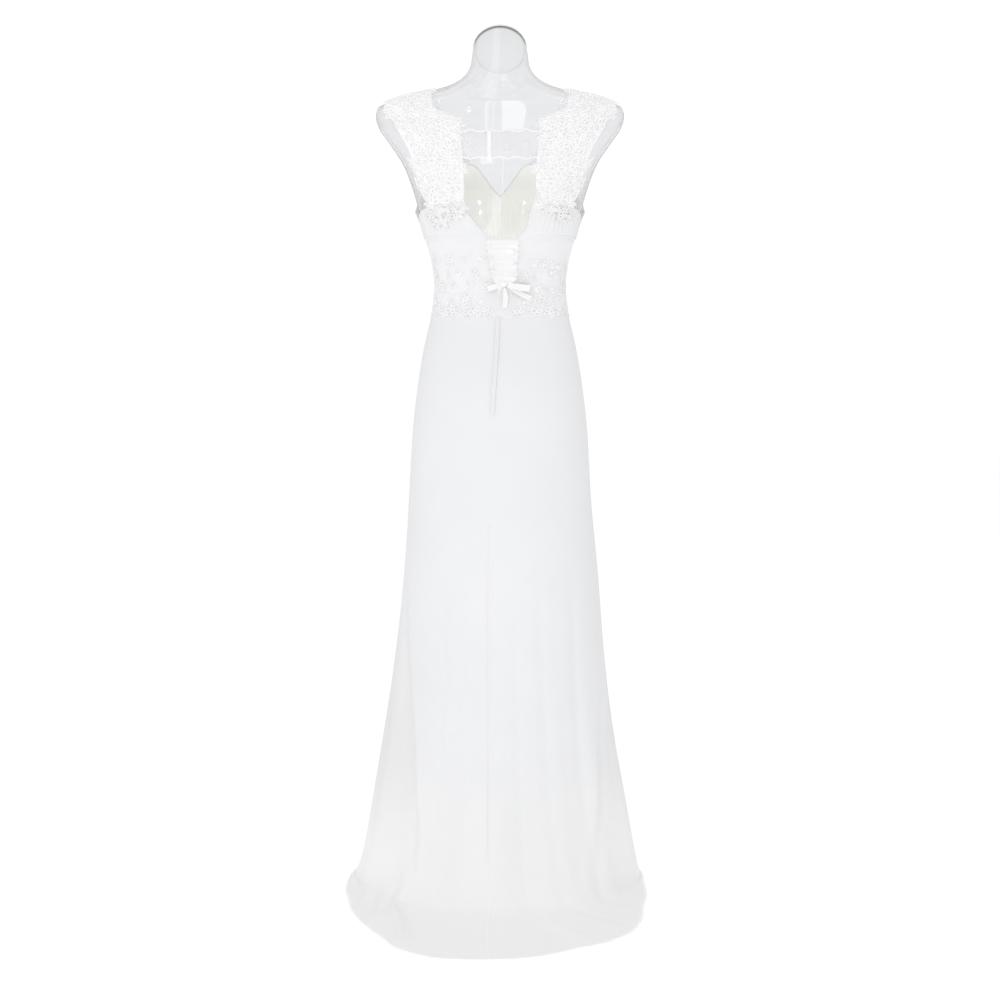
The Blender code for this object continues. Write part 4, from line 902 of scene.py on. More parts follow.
def addFlower(lace, centre, size, petals, angle, chance):
    for petal in range(petals):
        heading = angle + 2 * math.pi * petal / petals + chance.uniform(-0.12, 0.12)
        reach = size * chance.uniform(0.55, 0.66)
        middle = (centre[0] + reach * math.cos(heading), centre[1] + reach * math.sin(heading))
        length, width = size * chance.uniform(0.78, 0.98), size * chance.uniform(0.50, 0.66)
        addPetal(lace, middle, (length, width, 16, 0.3), heading, [0.42, 0.52, 0.60, 0.66],
                 (length * 0.8, 0.3), chance)
    lace["cords"].append((ovalLoop(centre, size * 0.34, size * 0.34, 0.0, 10, 0.0), True))


def addLeaves(lace, centre, size, angle, chance):
    for swing in (-0.75, 0.0, 0.75):
        heading = angle + swing + chance.uniform(-0.15, 0.15)
        middle = (centre[0] + size * 0.62 * math.cos(heading), centre[1] + size * 0.62 * math.sin(heading))
        addPetal(lace, middle, (size * 1.1, size * 0.46, 14, 0.35), heading, [0.0, 0.45, 0.6],
                 (size, 0.25), chance)


def addTwoLeaves(lace, centre, size, angle, chance):
    addLeaves(lace, centre, size, angle, chance)
    addLeaves(lace, centre, size * 0.8, angle + math.pi, chance)


def platePiece(name, plates, laid, lift, wall, material, *nodes):
    # stitched petals, some of them open in the middle
    points, faces = [], []
    for outline, openShare in plates:
        centre = outline.mean(axis=0)
        count, first = len(outline), len(points)
        second = first + count
        points.extend(outline)
        points.extend(centre + (outline - centre) * openShare if openShare > 0 else [centre])
        for index in range(count):
            following = (index + 1) % count
            if openShare > 0:
                faces.append((first + index, first + following, second + following, second + index))
            else:
                faces.append((first + index, first + following, second))
    flat = np.array(points)
    piece = meshPiece(name, laid(flat, lift), faces, material)
    mapFlat(piece, flat)
    addWall(piece, wall)
    applyModifiers(piece)
    onBody(piece, "lace", *nodes)
    return piece


def laidCords(paths, laid, lift):
    return [(laid(points, lift), closed) for points, closed in paths]


def laceOver(name, lace, laid, settings, fill, thread):
    # flowers and leaves laid on cloth, with their outlines and veins in cord
    platePiece(name + "Flowers", lace["plates"], laid, settings["plateLift"], settings["plate"], fill)
    paths = laidCords(lace["cords"] + lace["veins"], laid, settings["cordLift"])
    cordPiece(name + "Cords", paths, settings["cord"], thread, "lace", sides=0)


# the shoulder straps (share, centre x, half width, out from the form)
strapRows = np.array([
    (0.00, 0.0880, 0.0290, 0.0030), (0.12, 0.0985, 0.0410, 0.0030), (0.20, 0.1045, 0.0455, 0.0030),
    (0.27, 0.1165, 0.0545, 0.0030), (0.36, 0.1275, 0.0585, 0.0032), (0.42, 0.1420, 0.0490, 0.0034),
    (0.48, 0.1505, 0.0400, 0.0034), (0.58, 0.1500, 0.0385, 0.0024), (0.74, 0.1370, 0.0410, 0.0022),
    (1.00, 0.0910, 0.0420, 0.0028),
])
strapSettings = {"spacing": 0.0222, "flower": 0.0146, "leaf": 0.0138, "cord": 0.00085, "vein": 0.00045,
                 "plate": 0.0006, "net": 0.0003, "sink": 0.0004, "seed": 7, "wide": 1.16, "columns": 41,
                 "rows": 121, "cordLift": 0.0007, "veinLift": 0.0008, "brideLift": 0.0003, "edge": 0.0030,
                 "start": 0.35, "rowShare": 0.866, "shake": (-0.1, 0.1), "smaller": 0.82,
                 "netWide": 0.97, "netColumns": 29, "netEnds": (0.004, 0.996)}


def formLevel(points):
    height = points[..., 2]
    x, y = points[..., 0], points[..., 1] - formAt("middleY", height)
    return np.hypot(x, y) / formReach(np.degrees(np.arctan2(x, -y)), height)


def onForm(origins, directions):
    def isInside(reach):
        return formLevel(origins + directions * reach[..., None]) < 1

    return origins + directions * halved(origins.shape[:-1], 0.0, 0.30, isInside, 30)[0][..., None]


def formNormals(points):
    slopes = []
    for axis in range(3):
        shift = np.zeros(3)
        shift[axis] = 0.0002
        slopes.append(formLevel(points + shift) - formLevel(points - shift))
    return unit(np.stack(slopes, axis=-1))


def strapPivots(x):
    return np.stack([x, 0 * x - 0.018, 1.285 + 0.030 * eased((x - 0.12) / 0.06)], axis=-1)


def leaning(x, angle):
    return np.stack([0 * x, -np.sin(angle), np.cos(angle)], axis=-1)


def endAngle(x, height, facing):
    def isAbove(angle):
        return onForm(strapPivots(x), leaning(x, facing * np.radians(angle)))[..., 2] > height

    low, high = halved(x.shape, 0.0, 170.0, isAbove, 26)
    return facing * (low + high) / 2


def strapPoints(across, share, spread):
    x, *ends = [tableAt(strapRows, 1, at) + across * tableAt(strapRows, 2, at) for at in (share, 0.0, 1.0)]
    back = endAngle(ends[0], wingTop + seamGap / 2, 1.0)
    front = endAngle(ends[1], neckJoin + seamGap / 2, -1.0)
    angle = np.radians(back + (front - back) * np.interp(share, spread[0], spread[1]))
    laid = onForm(strapPivots(x), leaning(x, angle))
    return laid + formNormals(laid) * tableAt(strapRows, 3, share)[..., None]


def strapSpread():
    even = np.linspace(0.0, 1.0, 121)
    spread = (even, even)
    for step in range(6):
        laid = strapPoints(0 * even, even, spread)
        run = np.concatenate([[0.0], np.cumsum(np.linalg.norm(np.diff(laid, axis=0), axis=1))])
        spread = (even, np.interp(even, run / run[-1], np.interp(even, spread[0], spread[1])))
    return spread, run[-1]


spread, strapLength = strapSpread()
strapWide, strapCount = strapSettings["wide"], strapSettings["rows"]
strapAcross, strapShares = np.meshgrid(np.linspace(-strapWide, strapWide, strapSettings["columns"]),
                                       np.linspace(0.0, 1.0, strapCount))
strapGrid = strapPoints(strapAcross, strapShares, spread)
print("strap length", round(float(strapLength), 4))


def layOnStrap(flat, lift):
    share = np.clip(flat[:, 1] / strapLength, 0, 1)
    across = flat[:, 0] / tableAt(strapRows, 2, share)
    column = (across + strapWide) / (2 * strapWide) * (strapGrid.shape[1] - 1)
    return layOn(strapGrid, column, share * (strapGrid.shape[0] - 1), lift)


def strapMotifs(settings):
    chance = np.random.RandomState(settings["seed"])
    lace, brides, centres = newLace(), [], {}
    step = settings["spacing"]
    rise = step * settings["rowShare"]
    for row in range(-1, int(strapLength / rise) + 2):
        for column in range(-5, 6):
            u = (column + 0.5 * (row % 2)) * step + chance.uniform(*settings["shake"]) * step
            v = (row + settings["start"]) * step * settings["rowShare"]
            v += chance.uniform(*settings["shake"]) * step
            half = float(tableAt(strapRows, 2, min(max(v / strapLength, 0), 1)))
            if abs(u) > half - settings["edge"] or not settings["edge"] < v < strapLength - settings["edge"]:
                continue
            centres[(row, column)] = (u, v)
            kind = (column + 2 * row) % 3
            angle = chance.uniform(0, 2 * math.pi)
            if kind == 0:
                addFlower(lace, (u, v), settings["flower"], int(chance.choice([5, 6])), angle, chance)
            elif kind == 1:
                addTwoLeaves(lace, (u, v), settings["leaf"], angle, chance)
            else:
                addFlower(lace, (u, v), settings["flower"] * settings["smaller"], 5, angle, chance)
    # bars between neighbours
    for (row, column), place in centres.items():
        for key in ((row, column + 1), (row + 1, column), (row + 1, column + (1 if row % 2 else -1))):
            if key in centres:
                ends = np.array([place, centres[key]])
                brides.append((ends[0] + (ends[1] - ends[0]) * np.linspace(0, 1, 5)[:, None], False))
    return lace, brides


def makeStraps(settings):
    lace, brides = strapMotifs(settings)
    for name, side, solid in (("laceStrapRight", 1, "lace_strap_right"),
                              ("laceStrapLeft", -1, "lace_strap_left")):

        def laid(flat, lift):
            return layOnStrap(flat, lift) * [side, 1.0, 1.0]

        # fine net between the motifs
        across = np.linspace(-settings["netWide"], settings["netWide"], settings["netColumns"])
        shares = np.linspace(*settings["netEnds"], strapCount)
        ground = strapPoints(*np.meshgrid(across, shares), spread)
        ground = (ground - gridNormals(ground) * settings["sink"]) * [side, 1.0, 1.0]
        net = clothPiece(name + "Net", ground[:, ::side], settings["net"], strapNet, "net")
        # the net's faces towards the form take a copy that glows more: painted light
        lineFaces(net, netInsidePaintedLight, formNormals, -0.3)
        plates = [(outline[::side], share) for outline, share in lace["plates"]]
        plate = platePiece(name, plates, laid, 0.0, settings["plate"], laceFill, solid)
        # the petals' faces towards the form take a copy that glows brightly: painted light
        lineFaces(plate, laceUndersidePaintedLight, formNormals, -0.3)
        thick = laidCords(lace["cords"], laid, settings["cordLift"])
        cordPiece(name + "Cords", thick, settings["cord"], laceCord, "lace")
        fine = laidCords(lace["veins"], laid, settings["veinLift"])
        fine += laidCords(brides, laid, settings["brideLift"])
        cordPiece(name + "Veins", fine, settings["vein"], laceCord, "lace", sides=0)


makeStraps(strapSettings)
print("lace straps done")

# the lace laid over the midriff and the top of the skirt
overlaySettings = {"out": clothOut + clothWall + layerGap, "net": 0.0004, "cord": 0.00032, "flower": 0.0115,
                   "leaf": 0.0100, "scallop": 0.0300, "scallopDepth": 0.0075, "plate": 0.00026, "seed": 21,
                   "rows": 44, "columns": 100, "plateLift": 0.00046, "cordLift": 0.00066, "across": 0.027,
                   "up": 0.0215, "first": 0.013, "shake": 0.0015, "sideEdge": 0.012, "topEdge": 0.010,
                   "deep": 0.0010, "border": 0.002}


def overlayGrid(side, settings):
    low, top = overlayFoot - 0.012, midriffTop - 0.0012
    heights = low + (top - low) * np.linspace(0.0, 1.0, settings["rows"])
    turns = bandTurns(side, np.maximum(heights, waist), settings["columns"])
    if side:
        # over the skirt the edges follow the centre seam, over the midriff the lacing gap
        own = side * np.linspace(0.0, 90.0, settings["columns"])[None, ::side]
        below = eased((waist - heights) / 0.02)[:, None]
        turns = turns * (1 - below) + (own + seamShift(own, heights[:, None])) * below
    return offForm(turns, heights[:, None], settings["out"])


def makeOverlay(settings):
    for name, side, solid in (("laceOverlayBackLeft", -1, "lace_overlay_back_left"),
                              ("laceOverlayBackRight", 1, "lace_overlay_back_right"),
                              ("laceOverlayFront", 0, "lace_overlay_front")):
        chance = np.random.RandomState(settings["seed"] + side)
        grid = overlayGrid(side, settings)
        rows, columns = grid.shape[:2]
        width = np.linalg.norm(np.diff(grid[rows // 2], axis=0), axis=1).sum()
        height = np.linalg.norm(np.diff(grid[:, columns // 2], axis=0), axis=1).sum()

        def laid(flat, lift):
            return layOn(grid, flat[:, 0] / width * (columns - 1), flat[:, 1] / height * (rows - 1), lift)

        # the net's lower edge goes in scallops
        scallops = round(width / settings["scallop"])
        wave = np.abs(np.sin(math.pi * np.arange(columns) / (columns - 1) * scallops))
        part = np.linspace(0.0, 1.0, rows)[:, None]
        flatV = (1 - wave[None, :]) * settings["scallopDepth"] * (1 - part) + part * height
        flatU = np.tile(np.linspace(0, width, columns), (rows, 1))
        net = laid(np.stack([flatU.ravel(), flatV.ravel()], axis=1), 0.0).reshape(rows, columns, 3)
        clothPiece(name, trimmed(net), settings["net"], overlayNet, "net", solid)
        lace, shake = newLace(), settings["shake"]
        across = int(round(width / settings["across"]))
        for column in range(across):
            for row in range(5):
                u = (column + 0.5 + 0.28 * (1 if row % 2 else -1)) * width / across
                u += chance.uniform(-shake, shake)
                v = settings["first"] + row * settings["up"] + chance.uniform(-shake, shake)
                angle = chance.uniform(0, 2 * math.pi)
                inside = settings["sideEdge"] < u < width - settings["sideEdge"]
                if not inside or v > height - settings["topEdge"]:
                    continue
                if row == 0 or (column + row) % 3 == 0:
                    addFlower(lace, (u, v), settings["flower"], 6, angle, chance)
                else:
                    addLeaves(lace, (u, v), settings["leaf"], angle, chance)
        steps = 6 * int(width / settings["scallop"]) + 30
        border = np.linspace(settings["border"], width - settings["border"], steps)
        edge = np.interp(border, flatU[0], flatV[0])
        lace["cords"].append((np.stack([border, edge + 0.0006], axis=1), False))
        laceOver(name, lace, laid, settings, overlayLace, overlayLace)


makeOverlay(overlaySettings)
print("lace overlay done")

# the gathered wings of the back (keyhole edge: height, left x, right x)
keyholeRows = np.array([
    (midriffTop, -0.0215, 0.0292), (1.124, -0.0235, 0.0325), (1.130, -0.0285, 0.0380),
    (1.138, -0.0365, 0.0445), (1.152, -0.0470, 0.0485), (wingTop, -0.0565, 0.0515),
    (1.185, -0.0565, 0.0560), (1.204, -0.0565, 0.0615),
])
wingSettings = {"underarm": 1.150, "sideSeam": 88.5, "band": 0.30, "bandDepth": 0.45, "gathers": 15.0,
                "depth": 0.0021, "piping": 0.0012, "tongue": 0.030, "tongueShare": 0.130, "columns": 130,
                "rows": 56}


def wingGrid(side, settings):
    across = np.linspace(0.0, 1.0, settings["columns"])[None, :]
    up = np.linspace(0.0, 1.0, settings["rows"])[:, None]
    tongue = settings["tongue"] if side > 0 else 0.0
    edgeHeights = midriffTop + (wingTop + tongue - midriffTop) * up
    edgeTurn = np.abs(turnOfX(tableAt(keyholeRows, 2 if side > 0 else 1, edgeHeights), edgeHeights))
    top = wingTop - (wingTop - settings["underarm"]) * eased((across - 0.55) / 0.45)
    top = top + tongue * eased((settings["tongueShare"] - across) / settings["tongueShare"])
    foot = midriffTop + seamGap / 2
    heights = foot + (top - seamGap / 2 - foot) * up
    turns = edgeTurn + (settings["sideSeam"] - edgeTurn) * across + 0 * heights
    # a band of folds that lie along the waist's seam, and gathers that fan up from it
    band = settings["band"] + 0.06 * np.sin(5.0 * across + 0.6)
    inBand = eased((band - up) / 0.10)
    lying = 0.5 + 0.5 * np.sin(2 * math.pi * (up / band * 2.6 + 0.25 * np.sin(6.3 * across) + 0.3 * across))
    fan = settings["gathers"] * across ** 0.85 + 1.1 * up + 0.35 * np.sin(9.0 * across + 3.0 * up)
    rising = (0.5 + 0.5 * np.sin(2 * math.pi * fan)) * (0.65 + 0.35 * np.sin(17.0 * across + 2.0))
    edges = np.sin(math.pi * np.clip(0.06 + 0.9 * across, 0, 1)) ** 0.4 * eased((1.0 - up) / 0.18 + 0.25)
    fold = settings["bandDepth"] * inBand * lying + (1 - inBand) * rising
    out = clothOut + settings["depth"] * eased(up / 0.05) * edges * fold
    return trimmed(offForm(side * turns[:, ::side], heights[:, ::side], out[:, ::side]))


for name, side, solid in (("backWingLeft", -1, "back_wing_left"), ("backWingRight", 1, "back_wing_right")):
    grid = wingGrid(side, wingSettings)
    clothPiece(name, grid, clothWall, bodiceCloth, "chiffon", solid, lining=innerChiffon)
    # piping up the keyhole's edge and along the top
    raised = (grid + gridNormals(grid) * clothWall / 2)[:, ::side]
    path = np.concatenate([raised[:, 0], raised[-1][1:]])
    cordPiece(name + "Piping", [(path, False)], wingSettings["piping"], bodiceCloth, "chiffon")

# the lace that runs on from the straps over the top of each wing (foot and head of its outline, by x)
wingLaceSettings = {"out": 0.0052, "top": 1.171, "spacing": 0.0140, "flower": 0.0098, "leaf": 0.0094,
                    "cord": 0.00062, "plate": 0.0005, "plateLift": 0.0, "cordLift": 0.0006, "seed": 31,
                    "shake": 0.0012, "edge": 0.003}
wingLaceRows = {
    "wingLaceLeft": ((-0.117, 1.150), (-0.100, 1.142), (-0.080, 1.146), (-0.060, 1.156), (-0.050, 1.166)),
    "wingLaceRight": ((0.062, 1.170), (0.074, 1.161), (0.090, 1.152), (0.106, 1.150), (0.118, 1.157)),
}


def makeWingLace(settings):
    def laid(flat, lift):
        return backPoints(flat[:, 0], flat[:, 1], settings["out"] + lift)

    step, shake = settings["spacing"], settings["shake"]
    for name, rows in wingLaceRows.items():
        chance = np.random.RandomState(settings["seed"])
        lace = newLace()
        xs, feet = np.array(rows).T
        for row in range(4):
            height = settings["top"] - 0.004 - row * step * 0.8
            for column in range(int((xs[-1] - xs[0]) / step) + 1):
                x = xs[0] + (column + 0.5 * (row % 2)) * step + chance.uniform(-shake, shake)
                inside = xs[0] + settings["edge"] < x < xs[-1] - settings["edge"]
                if not inside or height < np.interp(x, xs, feet):
                    continue
                angle = chance.uniform(0, 2 * math.pi)
                if (row + column) % 2:
                    addFlower(lace, (x, height), settings["flower"], 5, angle, chance)
                else:
                    addTwoLeaves(lace, (x, height), settings["leaf"], angle, chance)
        laceOver(name, lace, laid, settings, laceFill, laceCord)


makeWingLace(wingLaceSettings)
print("back wings done")

# the bust cups (turn from the centre front, top)
cupRows = np.array([
    (0.0, 1.190), (8.0, 1.205), (16.0, 1.223), (24.0, 1.240), (30.0, neckJoin),
    (44.0, neckJoin), (54.0, 1.238), (66.0, 1.205), (78.0, 1.176), (91.0, 1.162),
])
cupSettings = {"split": 0.3, "foamTo": 0.108, "gathers": 19.0, "depth": 0.0020, "sideProud": 0.0035,
               "proudFrom": 0.86, "piping": 0.0011, "columns": 170, "rows": 60}


def cupGrid(side, settings):
    across = np.linspace(0.0, 1.0, settings["columns"])[None, :]
    up = np.linspace(0.0, 1.0, settings["rows"])[:, None]
    fromFront = settings["split"] + (180.0 - wingSettings["sideSeam"] - settings["split"]) * across
    top = tableAt(cupRows, 1, fromFront) - seamGap / 2
    foot = midriffTop + seamGap / 2
    heights = foot + (top - foot) * up
    fan = settings["gathers"] * across + 0.5 * np.sin(7.0 * across + 2.0 * up) + 1.2 * (across - 0.45) * up
    rising = (0.5 + 0.5 * np.sin(2 * math.pi * fan)) * (0.6 + 0.4 * np.sin(13.0 * across + 1.0))
    fade = eased(up / 0.06) * (0.25 + 0.75 * eased((0.9 - up) / 0.75))
    aside = eased((across - settings["proudFrom"]) / (1 - settings["proudFrom"]))
    proud = settings["sideProud"] * aside * up**2
    out = clothOut + settings["depth"] * fade * rising + proud
    turns = 180.0 - side * (fromFront + 0 * heights)
    return trimmed(offForm(turns[:, ::-side], heights[:, ::-side], out[:, ::-side]))


for name, side, solid in (("bustCupLeft", -1, "bust_cup_left"), ("bustCupRight", 1, "bust_cup_right")):
    grid = cupGrid(side, cupSettings)
    # the cups are faced with cream foam inside, all but their sides
    # the foam's finish also glows: painted light
    piece = clothPiece(name, grid, clothWall, bodiceCloth, "chiffon", solid, lining=cupFoam)
    for polygon in piece.data.polygons:
        if abs(polygon.center.x) > cupSettings["foamTo"]:
            polygon.material_index = 0
    edge = grid[-1] + gridNormals(grid)[-1] * clothWall / 2
    cordPiece(name + "Piping", [(edge, False)], cupSettings["piping"], bodiceCloth, "chiffon")
print("bust cups done")

# the sheer yoke over the shoulder blades
yokeSettings = {"top": 1.293, "bottom": 1.249, "left": -0.078, "split": -0.0175, "right": 0.080,
                "out": 0.0013, "wave": 0.0035, "waveWidth": 0.030, "wall": 0.0005, "cord": 0.0011,
                "columns": 90, "rows": 24, "picot": 0.0011, "picotWidth": 0.006, "edgingLift": 0.0003,
                "sprig": 0.0075, "sprigCord": 0.0004, "sprigStep": 0.021, "sprigLift": 0.0002}


def yokeEdges(x, settings):
    wave = settings["wave"] * np.abs(np.sin(math.pi * (x - settings["split"]) / settings["waveWidth"]))
    return settings["bottom"] + wave - settings["wave"] / 2, settings["top"] - wave + settings["wave"] / 2


def makeYoke(settings):
    halves = (("backYokeLeft", settings["left"], settings["split"] - seamGap / 2, "back_yoke_left", 3),
              ("backYokeRight", settings["split"] + seamGap / 2, settings["right"], "back_yoke_right", 4))
    for name, start, end, solid, seed in halves:
        x = np.linspace(start, end, settings["columns"])[None, :]
        foot, top = yokeEdges(x, settings)
        heights = foot + (top - foot) * np.linspace(0.0, 1.0, settings["rows"])[:, None]
        grid = backPoints(x, heights, settings["out"])
        clothPiece(name, grid, settings["wall"], netCloth, "net", solid)
        # a looped picot runs along each scalloped edge
        width = end - start
        swing = np.sin(2 * math.pi * np.linspace(0, 1, settings["columns"]) * width / settings["picotWidth"])
        paths = [(backPoints(x[0], heights[row] + settings["picot"] * swing,
                             settings["out"] + settings["wall"] + settings["edgingLift"]), False)
                 for row in (0, -1)]
        cordPiece(name + "Edging", paths, settings["cord"], laceCord, "lace")
        chance = np.random.RandomState(seed)
        lace = newLace()
        for place in np.arange(0.012, width - 0.008, settings["sprigStep"]):
            addLeaves(lace, (place, 0.022 + chance.uniform(-0.004, 0.004)), settings["sprig"],
                      chance.uniform(0, 6.28), chance)

        def laid(flat, lift):
            column = flat[:, 0] / width * (settings["columns"] - 1)
            row = flat[:, 1] / (settings["top"] - settings["bottom"]) * (settings["rows"] - 1)
            return layOn(grid, column, row, settings["wall"] + lift)

        sprigs = laidCords(lace["cords"], laid, settings["sprigLift"])
        cordPiece(name + "Sprigs", sprigs, settings["sprigCord"], laceCord, "lace", sides=0)


makeYoke(yokeSettings)

# the strip that closes the yoke, with its hanging loops
closureSettings = {"width": 0.0050, "drop": 0.006, "loops": 5, "loopDrop": 0.010, "cord": 0.0007,
                   "wall": 0.0006, "lift": 0.0005, "rungs": 0.0055, "rungDeep": 0.0004, "rimLift": 0.0007,
                   "loopStep": 0.0044, "loopHalf": 0.0019, "loopsAside": -0.003, "loopOut": 0.0010}


def makeClosure(settings):
    yoke = yokeSettings
    lift = yoke["out"] + yoke["wall"] + layerGap + settings["lift"]
    x = yoke["split"] + np.linspace(-0.5, 0.5, 13)[None, :] * settings["width"]
    heights = np.linspace(yoke["bottom"] - settings["drop"], yoke["top"] - 0.001, 60)[:, None]
    rungs = 0.5 + 0.5 * np.sin(2 * math.pi * heights / settings["rungs"])
    grid = backPoints(x, heights, lift + settings["rungDeep"] * rungs + 0 * x)
    clothPiece("yokeClosure", grid, settings["wall"], laceFill, "lace", "yoke_closure")
    paths = [(backPoints(yoke["split"] + side * settings["width"], heights[:, 0], lift + settings["rimLift"]),
              False) for side in (-0.5, 0.5)]
    for loop in range(settings["loops"]):
        fromMiddle = (loop - (settings["loops"] - 1) / 2) * settings["loopStep"]
        middle = yoke["split"] + fromMiddle + settings["loopsAside"]
        turn = np.linspace(0, math.pi, 12)
        foot = yoke["bottom"] + 0.0008 - settings["loopDrop"] * np.sin(turn) ** 0.7
        across = middle + settings["loopHalf"] * np.cos(turn)
        paths.append((backPoints(across, foot, yoke["out"] + settings["loopOut"]), False))
    cordPiece("yokeClosureLoops", paths, settings["cord"], laceCord, "lace")


makeClosure(closureSettings)
print("yoke done")

# the lacing: cord loops on each edge and the ribbon from side to side
# (loop: share of its height, reach inward; ribbon: share across, past the edge, lift)
lacingSettings = {"bottom": 1.0535, "top": 1.1150, "loops": 6, "rungs": 7, "cord": 0.0010, "clear": 0.0005,
                  "outside": 0.0032, "ribbon": 0.0042, "ribbonOut": 0.0043, "ribbonWall": 0.0007,
                  "inset": 0.0030, "groove": 0.0007, "ribbonLift": 0.0004}
loopRows = ((0.0, -0.0032), (0.22, 0.0), (0.34, 0.0040), (0.50, 0.0050), (0.66, 0.0040), (0.78, 0.0))
ribbonRows = ((0.0, 0.0004, -0.14), (0.16, 0.0, 0.0), (0.5, 0.0, 0.0), (0.84, 0.0, 0.0),
              (1.0, -0.0004, 0.14), (1.0, 0.0012, 0.5))


def alongCurve(points, count):
    # a smooth run through the points
    return smoothRows(np.asarray(points, float), np.linspace(0, len(points) - 1, count))


def makeLoops(settings):
    out = overlaySettings["out"] + overlaySettings["deep"] + settings["clear"] + settings["cord"]
    spacing = (settings["top"] - settings["bottom"]) / settings["loops"]
    for name, column, inward, solid in (("loopCordLeft", 1, 1, "loop_cord_left"),
                                        ("loopCordRight", 2, -1, "loop_cord_right")):
        places = [(settings["bottom"] + (loop + part) * spacing, reach)
                  for loop in range(settings["loops"]) for part, reach in loopRows]
        heights, reaches = np.array(places + [(settings["top"], -settings["outside"])]).T
        path = np.stack([tableAt(gapRows, column, heights) + inward * reaches, heights], axis=1)
        fine = alongCurve(path, 12 * len(path))
        placed = backPoints(fine[:, 0], fine[:, 1], out)
        cordPiece(name, [(placed, False)], settings["cord"], satin, "satin", solid, sides=2)


def makeRibbon(settings):
    spacing = (settings["top"] - settings["bottom"]) / settings["rungs"]
    inset = settings["ribbon"] / 2 + settings["inset"]
    path = []
    for rung in range(settings["rungs"]):
        height = settings["bottom"] + (rung + 0.5 + 0.10 * math.sin(4.1 * rung + 0.7)) * spacing
        left = float(tableAt(gapRows, 1, height)) + inset
        right = float(tableAt(gapRows, 2, height)) - inset
        start, end = (left, right) if rung % 2 == 0 else (right, left)
        heading = math.copysign(1.0, end - start)
        for share, past, lift in ribbonRows:
            path.append((start + (end - start) * share + heading * past, height + lift * spacing))
    fine = alongCurve(path, 9 * len(path))
    headings = unit(np.gradient(fine, axis=0))
    toSide = np.stack([headings[:, 1], -headings[:, 0]], axis=1)
    columns = []
    for part in np.linspace(-0.5, 0.5, 9):
        # a lengthwise groove makes each strip read as two, and its edges curl a little
        lift = settings["groove"] * np.cos(4 * math.pi * part) + settings["ribbonLift"]
        edge = fine + toSide * settings["ribbon"] * part
        columns.append(backPoints(edge[:, 0], edge[:, 1], settings["ribbonOut"] + lift))
    clothPiece("lacingRibbon", np.stack(columns, axis=1)[:, ::-1], settings["ribbonWall"], satin, "satin",
               "lacing_ribbon")


makeLoops(lacingSettings)
makeRibbon(lacingSettings)
print("lacing done")

# the bow (direction, length, width, is it a loop, how far its end bends aside)
bowSettings = {"knot": (0.0065, 1.0440), "radii": (0.0060, 0.0045, 0.0048), "start": 0.0006, "sink": 0.0014,
               "wall": 0.0007, "out": clothOut + clothWall + 2 * layerGap + overlaySettings["deep"]}
bowRows = (
    ("bowLoopRight", "bow_loop_right", -16.0, 0.036, 0.0126, True, 0.0035),
    ("bowLoopLeft", "bow_loop_left", 196.0, 0.020, 0.0100, True, 0.0020),
    ("bowTailRight", "bow_tail_right", -36.0, 0.044, 0.0088, False, 0.0050),
    ("bowTailLower", "bow_tail_lower", -82.0, 0.034, 0.0084, False, -0.0045),
)
bowLoopRows = np.array([
    (0.00, 0.0025, 0.60), (0.15, 0.0024, 0.80), (0.45, 0.0023, 1.00), (0.80, 0.0024, 1.00),
    (1.00, 0.0039, 1.00), (0.97, 0.0063, 1.00), (0.75, 0.0077, 1.00), (0.40, 0.0068, 0.90),
    (0.15, 0.0053, 0.75), (0.00, 0.0044, 0.60),
])
bowTailRows = np.array([
    (0.00, 0.0005, 0.45), (0.20, 0.0007, 0.80), (0.50, 0.0009, 1.00), (0.80, 0.0012, 1.00),
    (1.00, 0.0011, 1.05),
])


def makeBow(settings):
    knotPlace, radii = np.array(settings["knot"]), settings["radii"]
    seat = backPoints(*knotPlace[:, None], settings["out"] + radii[1] - settings["sink"])[0]
    deselectAll()
    bpy.ops.mesh.primitive_uv_sphere_add(segments=40, ring_count=24, radius=1.0)
    knot = bpy.context.active_object
    knot.name = "bowKnot"
    # soft creases wrap the knot from side to side
    for vertex in knot.data.vertices:
        x, y, z = vertex.co
        crease = 1 - 0.10 * bump(z - 0.35 - 0.1 * x, 0.12) - 0.12 * bump(z + 0.25 + 0.15 * x, 0.10)
        shaped = (x * radii[0], y * radii[1] * crease, z * radii[2] * (1 - 0.15 * x * x))
        vertex.co = Vector(shaped) + Vector(seat)
    knot.data.materials.append(satin)
    knot.data.shade_smooth()
    onBody(knot, "satin", "bow_knot")
    for name, solid, direction, length, width, isLoop, aside in bowRows:
        heading = np.array([math.cos(math.radians(direction)), math.sin(math.radians(direction))])
        sideways = np.array([-heading[1], heading[0]])
        stations = alongCurve(bowLoopRows if isLoop else bowTailRows, 60 if isLoop else 40)
        share, lift, wide = stations.T
        middle = knotPlace + heading * (radii[0] + settings["start"] + length * share[:, None])
        middle = middle + sideways * aside * share[:, None] ** 2
        columns = []
        for part in np.linspace(-0.5, 0.5, 11):
            x, height = (middle + sideways * width * part * wide[:, None]).T
            # gathers at the knot open out along the ribbon
            pinch = 0.0011 * np.cos(4 * math.pi * part) * (1 - 0.6 * share)
            if not isLoop:
                pinch = pinch + 0.0012 * np.sin(math.pi * share) ** 2
            columns.append(backPoints(x, height, settings["out"] + lift + np.maximum(pinch, -0.0003)))
        clothPiece(name, np.stack(columns, axis=1)[:, ::-1], settings["wall"], satin, "satin", solid)


makeBow(bowSettings)
print("bow done")

# the placket over the zip, two lips with a groove between them
placketSettings = {"half": 0.0030, "wall": 0.0007, "foot": 0.828, "head": 0.986, "fromRow": 19, "lip": 0.0007,
                   "proud": 0.0006}


